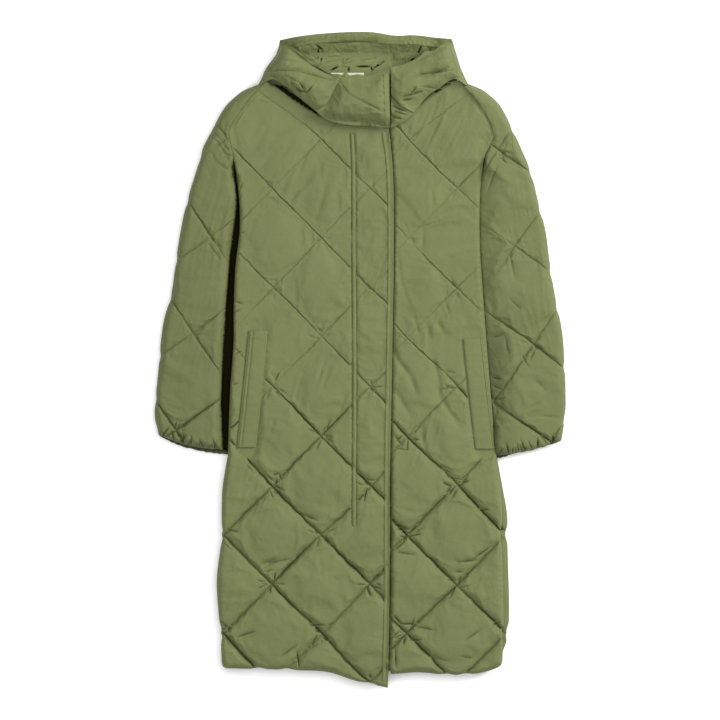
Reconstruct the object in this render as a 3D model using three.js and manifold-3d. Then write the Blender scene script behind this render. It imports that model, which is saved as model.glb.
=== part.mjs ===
// A long hooded parka in diamond-quilted padded cloth, laid out flat on its back, in millimetres.
// +X runs to the wearer's left, +Y from hem to hood and +Z up from the surface that it lies on.
// The origin is under the middle of the coat, at the level of that surface.
//
// The coat is built as it is sewn: a back and two fronts joined at the sides, two raglan tube sleeves that
// run up to the neck and end in elastic cuffs, two pocket welts, a fly that laps over the wearer's left
// front, and a hood of a back, two sides and a chin collar in two halves. Every padded piece is a thick
// wall with its quilting raised on the outer face, and the pieces are a hair apart where they are sewn.

import * as THREE from "three";
import { mergeVertices } from "three/addons/utils/BufferGeometryUtils.js";
import Module from "manifold-3d";

const wasm = await Module();
wasm.setup();

// ---------------------------------------------------------------- driving dimensions

const SEAM_GAP = 0.4; // between pieces that are sewn together
const LAYER_GAP = 0.3; // between layers that lie on each other
const BACK_WALL = 18; // padded back, pressed flat
const VALLEY_WALL = 6; // padded wall along a line of quilting
const FRONT_FLOOR = BACK_WALL + LAYER_GAP; // inner face of the fronts
const FRONT_VALLEY = FRONT_FLOOR + VALLEY_WALL;
const SIDE_SEAM_Z = FRONT_FLOOR + 3; // free edge of a front, where it meets the back
const PUFF = { chest: 15, skirt: 23, from: 120, to: -320 }; // pillow height, chest to skirt, over this Y
const EDGE_ROUND = 30; // width of the rounding along a free edge
const SLEEVE_VALLEY = 26;
const SLEEVE_PUFF = 21;
const SLEEVE_EDGE_Z = 18; // fold of a sleeve, where it is widest
const SLEEVE_SLIT = 1.2; // between the two layers of a flattened sleeve
const CUFF_SLIT = 3; // the cuff's mouth, pressed flat
const HOOD_WALL = 18; // padded wall of the hood and collar
const CLEAR = 3; // least room between a hood piece and what it hangs over

const QUILT = { halfWidth: 97.5, halfHeight: 99, cells: 5 }; // half a diamond each way, and its grid cells
const FLY = { lap: 34, shelf: 4, lift: 4.5, from: -12, to: 8 }; // the left front's edge under the fly
const BAND = { width: 9, thick: 2, gap: 0.4 }; // stitched bands on the fly
const WELT = { width: 43, thick: 4.5, gap: 0.4 };
const RIM = { width: 17, thick: 4, ribs: 34, gather: 2.2 };
const CUFF = { length: 14, thick: 25, ribs: 15, gather: 2.6 };

// ---------------------------------------------------------------- tables and curves

// Rows of numbers as objects with named columns.
const table = (columns, rows) => {
  const names = columns.split(" ");
  return rows.map((row) => Object.fromEntries(names.map((name, i) => [name, row[i]])));
};

// Seam and edge lines, each named for where it runs. Neighbouring pieces share them.
const LINES = {
  raglanRight: table("x y", [[-188, 556], [-214, 530], [-232, 508], [-250, 480], [-263, 456], [-259, 436],
    [-253, 408], [-250, 376]]),
  raglanLeft: table("x y", [[196, 560], [222, 532], [246, 500], [262, 472], [268, 446], [258, 426], [248, 402]]),
  sideRight: table("x y", [[-250, 376], [-242, 320], [-241, 260], [-249, 190], [-253, 100], [-253, 40], [-260, -60],
    [-265, -196]]),
  sideLeft: table("x y", [[248, 402], [242, 355], [240, 240], [246, 140], [258, -20], [268, -140], [274, -198]]),
  skirtRight: table("x y", [[-265, -196], [-275, -262], [-277, -360], [-286, -440], [-282, -510], [-278, -560],
    [-276, -616]]),
  skirtLeft: table("x y", [[274, -198], [283, -290], [284, -400], [287, -520], [284, -612]]),
  hemRight: table("x y", [[-274, -616], [-120, -620], [-60, -624], [-16, -639], [56, -656]]),
  hemLeft: table("x y", [[62, -628], [120, -624], [180, -630], [240, -626], [284, -612]]),
  frontEdge: table("x y", [[56, 484], [66, 380], [68, 240], [65, 20], [61, -220], [60, -480], [56, -656]]),
  neckRight: table("x y", [[-188, 556], [-150, 546], [-110, 526], [-60, 506], [56, 484]]),
  neckLeft: table("x y", [[196, 560], [160, 548], [130, 526], [100, 504], [56, 484]]),
  neckBack: table("x y", [[-188, 556], [-110, 540], [0, 533], [110, 541], [196, 560]]),
  skirtBackLeft: table("x y", [[274, -198], [286, -262], [294, -310], [295, -380], [298, -500], [296, -560], [290, -604]]),
  hemBack: table("x y", [[-272, -608], [-100, -614], [20, -624], [110, -616], [180, -620], [290, -604]]),
  skirtBackRight: table("x y", [[-265, -196], [-275, -262], [-277, -360], [-286, -440], [-282, -510], [-272, -608]]),
  sleeveRightOuter: table("x y", [[-207, 553], [-232, 540], [-258, 520], [-275, 500], [-296, 460], [-316, 420],
    [-327, 380], [-348, 310], [-366, 215], [-376, 140], [-394, 70], [-404, -30], [-411, -110], [-404, -142]]),
  sleeveLeftOuter: table("x y", [[219, 556], [246, 540], [272, 520], [288, 498], [306, 460], [324, 420], [341, 380],
    [357, 315], [371, 260], [379, 200], [389, 135], [404, 60], [410, -20], [411, -110], [406, -146]]),
  wristRight: table("x y", [[-404, -142], [-360, -160], [-310, -170], [-264, -172]]),
  wristLeft: table("x y", [[406, -146], [370, -158], [320, -170], [273, -176]]),
  hoodTop: table("x y", [[-160, 640], [-120, 648], [-50, 655], [25, 656], [70, 649], [110, 650], [150, 645], [184, 643]]),
  hoodSilhouetteRight: table("x y", [[-160, 640], [-168, 612], [-188, 584], [-203, 556]]),
  hoodSilhouetteLeft: table("x y", [[184, 643], [194, 610], [204, 580], [221, 554]]),
  hoodBackRight: table("x y", [[-160, 640], [-166, 612], [-180, 584], [-188, 556]]),
  hoodBackLeft: table("x y", [[184, 643], [190, 610], [196, 584], [190, 560]]),
  mouthRight: table("x y", [[-160, 640], [-128, 620], [-76, 580], [-38, 559]]),
  mouthLeft: table("x y", [[184, 643], [140, 616], [96, 594], [62, 584]]),
  chinSeamRight: table("x y", [[-38, 559], [-54, 532], [-66, 512], [-88, 497]]),
  lobeRight: table("x y", [[-203, 556], [-180, 563], [-150, 547], [-118, 521], [-88, 497]]),
  lobeLeft: table("x y", [[221, 554], [188, 562], [160, 544], [134, 526], [108, 494]]),
  chinTop: table("x y", [[-38, 559], [-5, 560], [28, 570], [58, 584]]),
  chinEdge: table("x y", [[58, 584], [59, 524], [61, 464]]),
  chinHem: table("x y", [[61, 464], [10, 467], [-30, 470], [-66, 480], [-88, 497]]),
  chinLeftTop: table("x y", [[62, 584], [62, 530]]),
  chinLeftFold: table("x y", [[62, 530], [78, 510], [108, 494]]),
  chinLeftHem: table("x y", [[108, 494], [86, 474], [62, 464]]),
};

// The inner fold of the wearer's right sleeve, which leaves a dark channel beside the body.
const SLEEVE_FOLD = table("x y", [[-250, 376], [-246, 330], [-252, 280], [-262, 210], [-270, 110], [-276, 20], [-280, -90],
  [-274, -182]]);

// Soft troughs pressed into the fronts: from one end to the other, how deep, and how wide.
const FOLDS = table("x0 y0 x1 y1 depth width", [
  [-122, 380, -118, 290, 3, 16],
  [-62, 392, -78, 300, 3, 14],
  [-60, 130, -110, 60, 3, 16],
  [-70, -60, -90, -150, 3, 16],
  [72, -60, 112, -130, 4, 18],
  [150, 300, 168, 210, 3, 18],
  [108, -330, 72, -380, 8, 22],
  [-170, -560, -60, -604, 4, 20],
  [-150, -420, -230, -400, 4, 20],
  [140, -420, 200, -410, 3, 18],
]);

const curveOf = (name) => {
  const rows = Array.isArray(name) ? name : LINES[name];
  return new THREE.CatmullRomCurve3(rows.map((p) => new THREE.Vector3(p.x, p.y, 0)), false, "centripetal");
};

// Points along a named line, about a step apart, each {x, y, z} at that edge height.
function along(name, z, { back = false, step = 24, shift = 0 } = {}) {
  const curve = curveOf(name);
  const count = Math.max(1, Math.round(curve.getLength() / step));
  const points = curve.getSpacedPoints(count).map((p) => ({ x: p.x + shift, y: p.y, z }));
  return back ? points.reverse() : points;
}

// Joins edges end to end into a closed outline that runs anticlockwise, without repeating corners.
function outlineOf(...edges) {
  const loop = edges.flatMap((edge) => edge.slice(0, -1));
  const twiceArea = loop.reduce((sum, p, i) => {
    const q = loop[(i + 1) % loop.length];
    return sum + p.x * q.y - q.x * p.y;
  }, 0);
  return twiceArea > 0 ? loop : loop.reverse();
}

// The outline again, moved inwards.
function inset(loop, distance, z) {
  return loop.map((p, i) => {
    const before = loop[(i + loop.length - 1) % loop.length];
    const after = loop[(i + 1) % loop.length];
    const a = new THREE.Vector2(p.x - before.x, p.y - before.y).normalize();
    const b = new THREE.Vector2(after.x - p.x, after.y - p.y).normalize();
    const inward = new THREE.Vector2(-(a.y + b.y), a.x + b.x).normalize();
    const reach = distance / Math.max(0.6, inward.dot(new THREE.Vector2(-a.y, a.x)));
    return { x: p.x + inward.x * reach, y: p.y + inward.y * reach, z: z ?? p.z };
  });
}

// ---------------------------------------------------------------- heights

const clamp01 = (t) => Math.min(1, Math.max(0, t));
const smooth = (t) => clamp01(t) ** 2 * (3 - 2 * clamp01(t));
const quarterRound = (t) => Math.sqrt(1 - (1 - clamp01(t)) ** 2);
const mix = (a, b, t) => a + (b - a) * t;

// How far a point is from a segment, and how far along the segment its nearest point lies.
function toSegment(x, y, ax, ay, bx, by) {
  const dx = bx - ax;
  const dy = by - ay;
  const t = clamp01(((x - ax) * dx + (y - ay) * dy) / (dx * dx + dy * dy || 1));
  return { distance: Math.hypot(x - ax - dx * t, y - ay - dy * t), t };
}

// The nearest point of an outline: its distance and its edge height.
function toOutline(loop, x, y) {
  let best = { distance: Infinity, z: 0 };
  loop.forEach((p, i) => {
    const q = loop[(i + 1) % loop.length];
    const { distance, t } = toSegment(x, y, p.x, p.y, q.x, q.y);
    if (distance < best.distance) best = { distance, z: mix(p.z, q.z, t) };
  });
  return best;
}

function isInside(loop, x, y) {
  let inside = false;
  loop.forEach((p, i) => {
    const q = loop[(i + 1) % loop.length];
    if (p.y > y !== q.y > y && x < ((q.x - p.x) * (y - p.y)) / (q.y - p.y) + p.x) inside = !inside;
  });
  return inside;
}

// A diamond quilting lattice: (a, b) are half diamonds from the crossing at its origin.
function lattice(x0, y0, degrees) {
  const turn = THREE.MathUtils.degToRad(degrees);
  const c = Math.cos(turn);
  const s = Math.sin(turn);
  return {
    at: (x, y) => ({
      a: ((x - x0) * c + (y - y0) * s) / QUILT.halfWidth,
      b: (-(x - x0) * s + (y - y0) * c) / QUILT.halfHeight,
    }),
    point: (a, b) => ({
      x: x0 + a * QUILT.halfWidth * c - b * QUILT.halfHeight * s,
      y: y0 + a * QUILT.halfWidth * s + b * QUILT.halfHeight * c,
    }),
    step: 1 / QUILT.cells,
  };
}

// A square grid for a piece with no quilting on it.
const plainGrid = (size) => ({ at: (x, y) => ({ a: x / size, b: y / size }), point: (a, b) => ({ x: a * size, y: b * size }), step: 1 });

// 0 along the lines of quilting and 1 in the middle of each diamond.
function pillow(quilting, x, y) {
  const { a, b } = quilting.at(x, y);
  return Math.sqrt(Math.abs(Math.sin((Math.PI * (a + b)) / 2) * Math.sin((Math.PI * (a - b)) / 2)));
}

const foldDepth = (x, y) =>
  FOLDS.reduce((depth, f) => {
    const { distance, t } = toSegment(x, y, f.x0, f.y0, f.x1, f.y1);
    return Math.max(depth, f.depth * Math.sin(Math.PI * mix(0.15, 0.85, t)) * (1 - smooth(distance / f.width)));
  }, 0);

const frontHeight = (quilting) => (x, y) => {
  const puff = mix(PUFF.chest, PUFF.skirt, smooth((PUFF.from - y) / (PUFF.from - PUFF.to)));
  return FRONT_VALLEY + puff * pillow(quilting, x, y) - foldDepth(x, y) * pillow(quilting, x, y);
};

// ---------------------------------------------------------------- solids

const solidOf = (geometry) => {
  const bare = geometry.index ? geometry.toNonIndexed() : geometry.clone();
  bare.deleteAttribute("normal");
  bare.deleteAttribute("uv");
  const merged = mergeVertices(bare, 1e-3);
  return new wasm.Manifold(new wasm.Mesh({
    numProp: 3,
    vertProperties: merged.attributes.position.array,
    triVerts: new Uint32Array(merged.index.array),
  }));
};

const geometryOf = (solid) => {
  const mesh = solid.getMesh();
  const positions = new Float32Array(mesh.numVert * 3);
  for (let i = 0; i < mesh.numVert; i++) positions.set(mesh.vertProperties.subarray(i * mesh.numProp, i * mesh.numProp + 3), i * 3);
  return new THREE.BufferGeometry()
    .setAttribute("position", new THREE.BufferAttribute(positions, 3))
    .setIndex(new THREE.BufferAttribute(mesh.triVerts, 1));
};

// Collects points and triangles of one closed body.
class Body {
  constructor() {
    this.points = [];
    this.triangles = [];
  }
  add(p) {
    return this.points.push(p.x, p.y, p.z) / 3 - 1;
  }
  face(a, b, c) {
    this.triangles.push(a, b, c);
  }
  quad(a, b, c, d) {
    this.face(a, b, c);
    this.face(a, c, d);
  }
  // The closed body, with its faces turned outwards.
  geometry() {
    const at = (n) => new THREE.Vector3().fromArray(this.points, n * 3);
    let volume = 0;
    for (let i = 0; i < this.triangles.length; i += 3) {
      const [a, b, c] = this.triangles.slice(i, i + 3).map(at);
      volume += a.dot(b.cross(c));
    }
    return new THREE.BufferGeometry()
      .setAttribute("position", new THREE.Float32BufferAttribute(this.points, 3))
      .setIndex(volume < 0 ? this.triangles.toReversed() : this.triangles);
  }
}

// The grid cells that lie well inside an outline, without cells that touch only at a corner.
function cellsInside(loop, grid) {
  const spots = loop.map((p) => grid.at(p.x, p.y));
  const low = (key) => Math.floor(Math.min(...spots.map((s) => s[key])) / grid.step);
  const high = (key) => Math.ceil(Math.max(...spots.map((s) => s[key])) / grid.step);
  const nodes = new Map();
  const key = (i, j) => `${i},${j}`;
  const p0 = grid.point(0, 0);
  const p1 = grid.point(grid.step, 0);
  const clearance = 0.42 * Math.hypot(p1.x - p0.x, p1.y - p0.y);
  for (let i = low("a"); i <= high("a"); i++)
    for (let j = low("b"); j <= high("b"); j++) {
      const p = grid.point(i * grid.step, j * grid.step);
      if (isInside(loop, p.x, p.y) && toOutline(loop, p.x, p.y).distance > clearance) nodes.set(key(i, j), { i, j, ...p });
    }
  const cells = new Set();
  for (const { i, j } of nodes.values())
    if ([[i + 1, j], [i, j + 1], [i + 1, j + 1]].every(([m, n]) => nodes.has(key(m, n)))) cells.add(key(i, j));
  const has = (i, j) => cells.has(key(i, j));
  let pinched = true;
  while (pinched) {
    pinched = false;
    for (const cell of [...cells]) {
      const [i, j] = cell.split(",").map(Number);
      const lonely = [[1, 1], [1, -1], [-1, 1], [-1, -1]].some(([m, n]) => has(i + m, j + n) && !has(i + m, j) && !has(i, j + n));
      const thin = [has(i + 1, j), has(i - 1, j), has(i, j + 1), has(i, j - 1)].filter(Boolean).length < 1;
      if (lonely || thin) {
        cells.delete(cell);
        pinched = true;
      }
    }
  }
  return { nodes, cells, has, key };
}

// The border of the kept cells, as one loop of node keys that runs anticlockwise.
function borderOf({ cells, has, key }) {
  const next = new Map();
  for (const cell of cells) {
    const [i, j] = cell.split(",").map(Number);
    if (!has(i, j - 1)) next.set(key(i, j), key(i + 1, j));
    if (!has(i + 1, j)) next.set(key(i + 1, j), key(i + 1, j + 1));
    if (!has(i, j + 1)) next.set(key(i + 1, j + 1), key(i, j + 1));
    if (!has(i - 1, j)) next.set(key(i, j + 1), key(i, j));
  }
  const loops = [];
  while (next.size) {
    const loop = [];
    let at = next.keys().next().value;
    while (next.has(at)) {
      loop.push(at);
      const to = next.get(at);
      next.delete(at);
      at = to;
    }
    loops.push(loop);
  }
  return loops.sort((a, b) => b.length - a.length)[0];
}

// One face of a panel over an outline: a grid inside, joined to the outline by a ring of triangles.
// Returns the outline's point numbers, in order.
function addFace(body, loop, grid, height, { round = EDGE_ROUND, up = true } = {}) {
  const found = cellsInside(loop, grid);
  const { nodes, cells, key } = found;
  const exact = (x, y) => {
    const edge = toOutline(loop, x, y);
    return mix(edge.z, height(x, y), quarterRound(edge.distance / round));
  };
  const number = new Map();
  const numberOf = (name) => {
    if (!number.has(name)) {
      const { x, y } = nodes.get(name);
      number.set(name, body.add({ x, y, z: exact(x, y) }));
    }
    return number.get(name);
  };
  const turned = (a, b, c) => (up ? body.face(a, b, c) : body.face(a, c, b));
  for (const cell of cells) {
    const [i, j] = cell.split(",").map(Number);
    const corners = [[i, j], [i + 1, j], [i + 1, j + 1], [i, j + 1]].map(([m, n]) => numberOf(key(m, n)));
    const z = corners.map((n) => body.points[n * 3 + 2]);
    const middle = grid.point((i + 0.5) * grid.step, (j + 0.5) * grid.step);
    const wanted = exact(middle.x, middle.y);
    const [a, b, c, d] = corners;
    if (Math.abs((z[0] + z[2]) / 2 - wanted) <= Math.abs((z[1] + z[3]) / 2 - wanted)) {
      turned(a, b, c);
      turned(a, c, d);
    } else {
      turned(a, b, d);
      turned(b, c, d);
    }
  }
  const border = borderOf(found);
  const rim = loop.map((p) => body.add(p));
  const flat = (p) => new THREE.Vector2(p.x, p.y);
  const hole = [...border].reverse();
  const all = [...rim, ...hole.map(numberOf)];
  const faces = THREE.ShapeUtils.triangulateShape(loop.map(flat), [hole.map((name) => flat(nodes.get(name)))]);
  faces.forEach(([a, b, c]) => turned(all[a], all[b], all[c]));
  return rim;
}

// A flat face over a loop of points that are in the body already.
function capLoop(body, loop, numbers, up) {
  THREE.ShapeUtils.triangulateShape(loop.map((p) => new THREE.Vector2(p.x, p.y)), []).forEach(([a, b, c]) =>
    up ? body.face(numbers[a], numbers[b], numbers[c]) : body.face(numbers[a], numbers[c], numbers[b]));
}

// Walls between two loops of the same length, the first one lower.
function wall(body, lower, upper) {
  lower.forEach((_, i) => {
    const j = (i + 1) % lower.length;
    body.quad(lower[i], lower[j], upper[j], upper[i]);
  });
}

// A padded panel: its outer face is raised by height(x, y), and its inner face is flat at floor, or follows
// under(x, y). skirt lists the rings between the outline and the floor as {inset, z}, from the lowest up.
function panel({ outline, height, grid, floor = 0, under, skirt = [{ inset: 0, z: floor }], round }) {
  const body = new Body();
  const loop = inset(outline, SEAM_GAP / 2);
  const top = addFace(body, loop, grid, height, { round });
  if (under) {
    const lower = loop.map((p) => ({ ...p, z: Math.min(p.z - 2, under(p.x, p.y)) }));
    wall(body, addFace(body, lower, grid, under, { round: 12, up: false }), top);
    return body.geometry();
  }
  const rings = skirt.map((ring) => inset(loop, ring.inset, ring.z));
  const numbers = rings.map((ring) => ring.map((p) => body.add(p)));
  capLoop(body, rings[0], numbers[0], false);
  [...numbers, top].forEach((ring, i, every) => i && wall(body, every[i - 1], ring));
  return body.geometry();
}

// How high a finished piece's outer face is at (x, y), or lowest where the piece isn't there.
function surfaceOf(geometry, lowest = -Infinity) {
  const faces = geometry.toNonIndexed().attributes.position;
  const triangles = [];
  for (let i = 0; i < faces.count; i += 3) {
    const [a, b, c] = [0, 1, 2].map((k) => new THREE.Vector3().fromBufferAttribute(faces, i + k));
    const twice = (b.x - a.x) * (c.y - a.y) - (b.y - a.y) * (c.x - a.x);
    if (twice > 1e-6) triangles.push({ a, b, c, twice });
  }
  return (x, y) => {
    let z = lowest;
    for (const { a, b, c, twice } of triangles) {
      const u = ((b.x - x) * (c.y - y) - (b.y - y) * (c.x - x)) / twice;
      const v = ((c.x - x) * (a.y - y) - (c.y - y) * (a.x - x)) / twice;
      const w = 1 - u - v;
      if (u > -1e-6 && v > -1e-6 && w > -1e-6) z = Math.max(z, u * a.z + v * b.z + w * c.z);
    }
    return z;
  };
}

// A strip laid on finished pieces along a line, and cut from their own outer faces, moved out.
function laidOn(name, { line, width, thick, gap, step = 24 }) {
  const curve = curveOf(line);
  const count = Math.max(1, Math.round(curve.getLength() / step));
  const side = (sign) => Array.from({ length: count + 1 }, (_, i) => {
    const p = curve.getPointAt(i / count);
    const t = curve.getTangentAt(i / count);
    return new THREE.Vector2(p.x - (sign * t.y * width) / 2, p.y + (sign * t.x * width) / 2);
  });
  const shape = new THREE.Shape([...side(-1), ...side(1).reverse()]);
  const column = solidOf(new THREE.ExtrudeGeometry(shape, { depth: 200, bevelEnabled: false }));
  const below = solidOf(coat.getObjectByName(name).geometry);
  return geometryOf(column.intersect(below.translate([0, 0, gap + thick])).subtract(below.translate([0, 0, gap])));
}

// A gathered strip over a surface: rows of points across a line.
function strip({ line, width, across = 1, step, rows, thick, gap, surface }) {
  const curve = curveOf(line);
  const count = rows ?? Math.round(curve.getLength() / step);
  const body = new Body();
  const rings = [];
  for (let i = 0; i <= count; i++) {
    const centre = curve.getPointAt(i / count);
    const tangent = curve.getTangentAt(i / count);
    const side = new THREE.Vector3(-tangent.y, tangent.x, 0);
    const lower = [];
    const upper = [];
    for (let k = 0; k <= across; k++) {
      const p = centre.clone().addScaledVector(side, mix(-0.5, 0.5, k / across) * width);
      p.z = surface(p.x, p.y) + gap;
      lower.push(body.add(p));
      p.z += typeof thick === "function" ? thick(i, k) : thick;
      upper.push(body.add(p));
    }
    rings.push([...lower, ...upper.reverse()]);
  }
  closeRings(body, rings);
  return body.geometry();
}

// Skins rings of points into a closed body. Each ring runs along its lower points and back along its upper ones.
function closeRings(body, rings) {
  const size = rings[0].length;
  for (let i = 0; i + 1 < rings.length; i++)
    for (let k = 0; k < size; k++) {
      const l = (k + 1) % size;
      body.quad(rings[i][k], rings[i][l], rings[i + 1][l], rings[i + 1][k]);
    }
  for (const [ring, first] of [[rings[0], true], [rings.at(-1), false]])
    for (let k = 0; k + 1 < size / 2; k++) {
      const [a, b, c, d] = [ring[k], ring[k + 1], ring[size - 2 - k], ring[size - 1 - k]];
      if (first) body.quad(a, d, c, b);
      else body.quad(a, b, c, d);
    }
}

// ---------------------------------------------------------------- the coat

const coat = new THREE.Group();
const materials = {
  shell: new THREE.MeshStandardMaterial({ color: 0x7e865b, roughness: 0.55, metalness: 0 }),
  lining: new THREE.MeshStandardMaterial({ color: 0x747c53, roughness: 0.5, metalness: 0 }),
  label: new THREE.MeshStandardMaterial({ color: 0xe8e6cc, roughness: 0.7, metalness: 0 }),
};

function place(name, geometry, material = materials.shell) {
  const mesh = new THREE.Mesh(geometry, material);
  mesh.name = name;
  coat.add(mesh);
  return surfaceOf(geometry);
}

const bodyQuiltRight = lattice(-77, 248, 0);
const bodyQuiltLeft = lattice(96, 246, 0);
const sleeveQuiltRight = lattice(-334, 54, -10);
const sleeveQuiltLeft = lattice(346, 30, 10);
const RESTING = [{ inset: 13, z: 0 }, { inset: 4, z: 6 }]; // rings of an edge that rounds under to the surface
const RESTING_FOLD = [{ inset: 6, z: 0 }, { inset: 2, z: 5 }]; // the same under the fold of a sleeve

function makeBack() {
  const outline = outlineOf(
    along("neckBack", BACK_WALL), along("raglanLeft", BACK_WALL), along("sideLeft", BACK_WALL),
    along("skirtBackLeft", BACK_WALL), along("hemBack", BACK_WALL, { back: true, step: 60 }),
    along("skirtBackRight", BACK_WALL, { back: true }), along("sideRight", BACK_WALL, { back: true }),
    along("raglanRight", BACK_WALL, { back: true }));
  return panel({ outline, height: () => BACK_WALL, grid: plainGrid(120), skirt: RESTING });
}

// The shelf of the left front that the fly laps over, grown a little where the fly's own solid is cut by it.
function flyShelf(grow) {
  const points = along("frontEdge", 0).filter((p) => p.y > -610 && p.y < 470);
  const inner = points.map((p) => new THREE.Vector2(p.x - FLY.lap - grow, p.y));
  const outer = points.map((p) => new THREE.Vector2(p.x + 6, p.y)).reverse();
  const depth = FLY.shelf + grow;
  return new THREE.ExtrudeGeometry(new THREE.Shape([...inner, ...outer]), { depth, bevelEnabled: false }).translate(0, 0, FRONT_FLOOR);
}

function makeFrontRight() {
  const quilted = frontHeight(bodyQuiltRight);
  const outline = outlineOf(
    along("neckRight", 26), along("frontEdge", 33), along("hemRight", SIDE_SEAM_Z + 3, { back: true }),
    along("skirtRight", SIDE_SEAM_Z, { back: true }), along("sideRight", SIDE_SEAM_Z, { back: true }),
    along("raglanRight", 28, { back: true }));
  const height = (x, y) => quilted(x, y) + FLY.lift * smooth((x - FLY.from) / (FLY.to - FLY.from));
  const solid = solidOf(panel({ outline, height, grid: bodyQuiltRight, floor: FRONT_FLOOR }));
  return geometryOf(solid.subtract(solidOf(flyShelf(SEAM_GAP))));
}

function makeFrontLeft() {
  const outline = outlineOf(
    along("neckLeft", 26, { back: true }), along("raglanLeft", 28), along("sideLeft", 39), along("skirtLeft", SIDE_SEAM_Z + 4), along("hemLeft", SIDE_SEAM_Z + 3, { back: true }),
    [{ x: 62, y: -628, z: 30 }, { x: 56, y: -628, z: 30 }],
    along("frontEdge", 29, { back: true }).filter((p) => p.y > -625));
  const solid = solidOf(panel({ outline, height: frontHeight(bodyQuiltLeft), grid: bodyQuiltLeft, floor: FRONT_FLOOR }));
  return geometryOf(solid.add(solidOf(flyShelf(0))));
}

// A sleeve is a tube pressed flat: an outer form with a slit right through it, from armhole to cuff.
function makeSleeve({ outline, height, grid, slit }) {
  const outer = solidOf(panel({ outline, height, grid, skirt: RESTING_FOLD, round: EDGE_ROUND - 6 }));
  const curve = curveOf(slit);
  const body = new Body();
  const count = 12;
  const rings = [];
  for (let i = 0; i <= count; i++) {
    const p = curve.getPointAt(i / count);
    const half = mix(18, 40, smooth(i / 5));
    const tall = SLEEVE_SLIT + (CUFF_SLIT - SLEEVE_SLIT) * smooth(i - count + 1);
    const ring = [[-1, 0], [1, 0], [1, 1], [-1, 1]].map(([m, n]) => body.add({ x: p.x + m * half, y: p.y, z: SLEEVE_EDGE_Z - 3 + n * tall }));
    rings.push(ring.reverse());
  }
  closeRings(body, rings);
  return geometryOf(outer.subtract(solidOf(body.geometry())));
}

function makeSleeveRight() {
  const fold = curveOf(SLEEVE_FOLD).getSpacedPoints(40);
  const foldX = (y) => fold.reduce((near, p) => (Math.abs(p.y - y) < Math.abs(near.y - y) ? p : near)).x;
  const height = (x, y) => {
    const full = SLEEVE_VALLEY + SLEEVE_PUFF * pillow(sleeveQuiltRight, x, y);
    return mix(9, full, quarterRound((foldX(y) - x + 4) / 26));
  };
  const outline = outlineOf(
    along("raglanRight", 28), along("sideRight", 9).filter((p) => p.y > -166), [{ x: -264, y: -172, z: 12 }],
    along("wristRight", 24, { back: true }), along("sleeveRightOuter", SLEEVE_EDGE_Z, { back: true }));
  return makeSleeve({ outline, height, grid: sleeveQuiltRight, slit: table("x y", [[-246, 500], [-290, 400], [-314, 310], [-334, 80], [-338, -215]]) });
}

function makeSleeveLeft() {
  const height = (x, y) => SLEEVE_VALLEY + SLEEVE_PUFF * pillow(sleeveQuiltLeft, x, y);
  const outline = outlineOf(
    along("raglanLeft", 28), along("sideLeft", 33).filter((p) => p.y > -168), [{ x: 273, y: -176, z: 30 }],
    along("wristLeft", 24, { back: true }), along("sleeveLeftOuter", SLEEVE_EDGE_Z, { back: true }));
  return makeSleeve({ outline, height, grid: sleeveQuiltLeft, slit: table("x y", [[246, 500], [294, 400], [316, 310], [338, 80], [340, -220]]) });
}

// An elastic cuff: a low gathered ring that closes the end of a sleeve, with its mouth pressed flat.
function makeCuff(wrist, outward) {
  const curve = curveOf(wrist);
  const count = CUFF.ribs * 2;
  const body = new Body();
  const rings = [];
  for (let i = 0; i <= count; i++) {
    const at = curve.getPointAt(mix(0.02, 0.97, i / count));
    const gather = (i % 2) * CUFF.gather;
    const ends = quarterRound(Math.min(i, count - i) / 3);
    const high = mix(12, CUFF.thick, ends) - gather;
    const near = { x: at.x, y: at.y - SEAM_GAP };
    const far = { x: at.x + outward.x * (CUFF.length - gather), y: at.y + outward.y * (CUFF.length - gather) };
    const ring = [
      { ...near, z: 1 }, { ...far, z: 3 + gather / 2 }, { ...far, z: high - 4 }, { ...near, z: high },
    ].map((p) => body.add(p));
    rings.push(ring.reverse());
  }
  closeRings(body, rings);
  return body.geometry();
}

function cuffWithMouth(wrist, outward) {
  const solid = solidOf(makeCuff(wrist, outward));
  const curve = curveOf(wrist);
  const body = new Body();
  const rings = [];
  for (let i = 0; i <= 8; i++) {
    const at = curve.getPointAt(mix(0.14, 0.86, i / 8));
    const half = CUFF_SLIT / 2;
    const middle = SLEEVE_EDGE_Z - 3 + half;
    rings.push([[14, -1], [-34, -1], [-34, 1], [14, 1]].map(([dy, n]) => body.add({ x: at.x, y: at.y + dy, z: middle + n * half })).reverse());
  }
  closeRings(body, rings);
  return geometryOf(solid.subtract(solidOf(body.geometry())));
}

// ---------------------------------------------------------------- the hood

const hoodTopY = (() => {
  const points = curveOf("hoodTop").getSpacedPoints(60);
  return (x) => points.reduce((near, p) => (Math.abs(p.x - x) < Math.abs(near.x - x) ? p : near)).y;
})();

const HOOD_FLOOR = 14; // the hood's back, pressed flat
const CROWN = { rise: 32, width: 56, fade: 60, left: -160, right: 184 }; // its top edge curls up

// The back of the hood lies on the surface, and its top edge curls up towards the mouth.
function hoodBackHeight(x, y) {
  const curl = smooth(1 - (hoodTopY(x) - y) / CROWN.width);
  const ends = smooth((x - CROWN.left) / CROWN.fade) * smooth((CROWN.right - x) / CROWN.fade);
  return HOOD_FLOOR + CROWN.rise * curl * ends;
}

function makeHoodBack() {
  const outline = outlineOf(
    along("hoodTop", 30, { step: 20 }), along("hoodBackLeft", 14),
    along("neckBack", HOOD_FLOOR, { back: true }), along("hoodBackRight", 14, { back: true }));
  return panel({ outline, height: hoodBackHeight, grid: plainGrid(18), skirt: RESTING, round: 16 });
}

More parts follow.
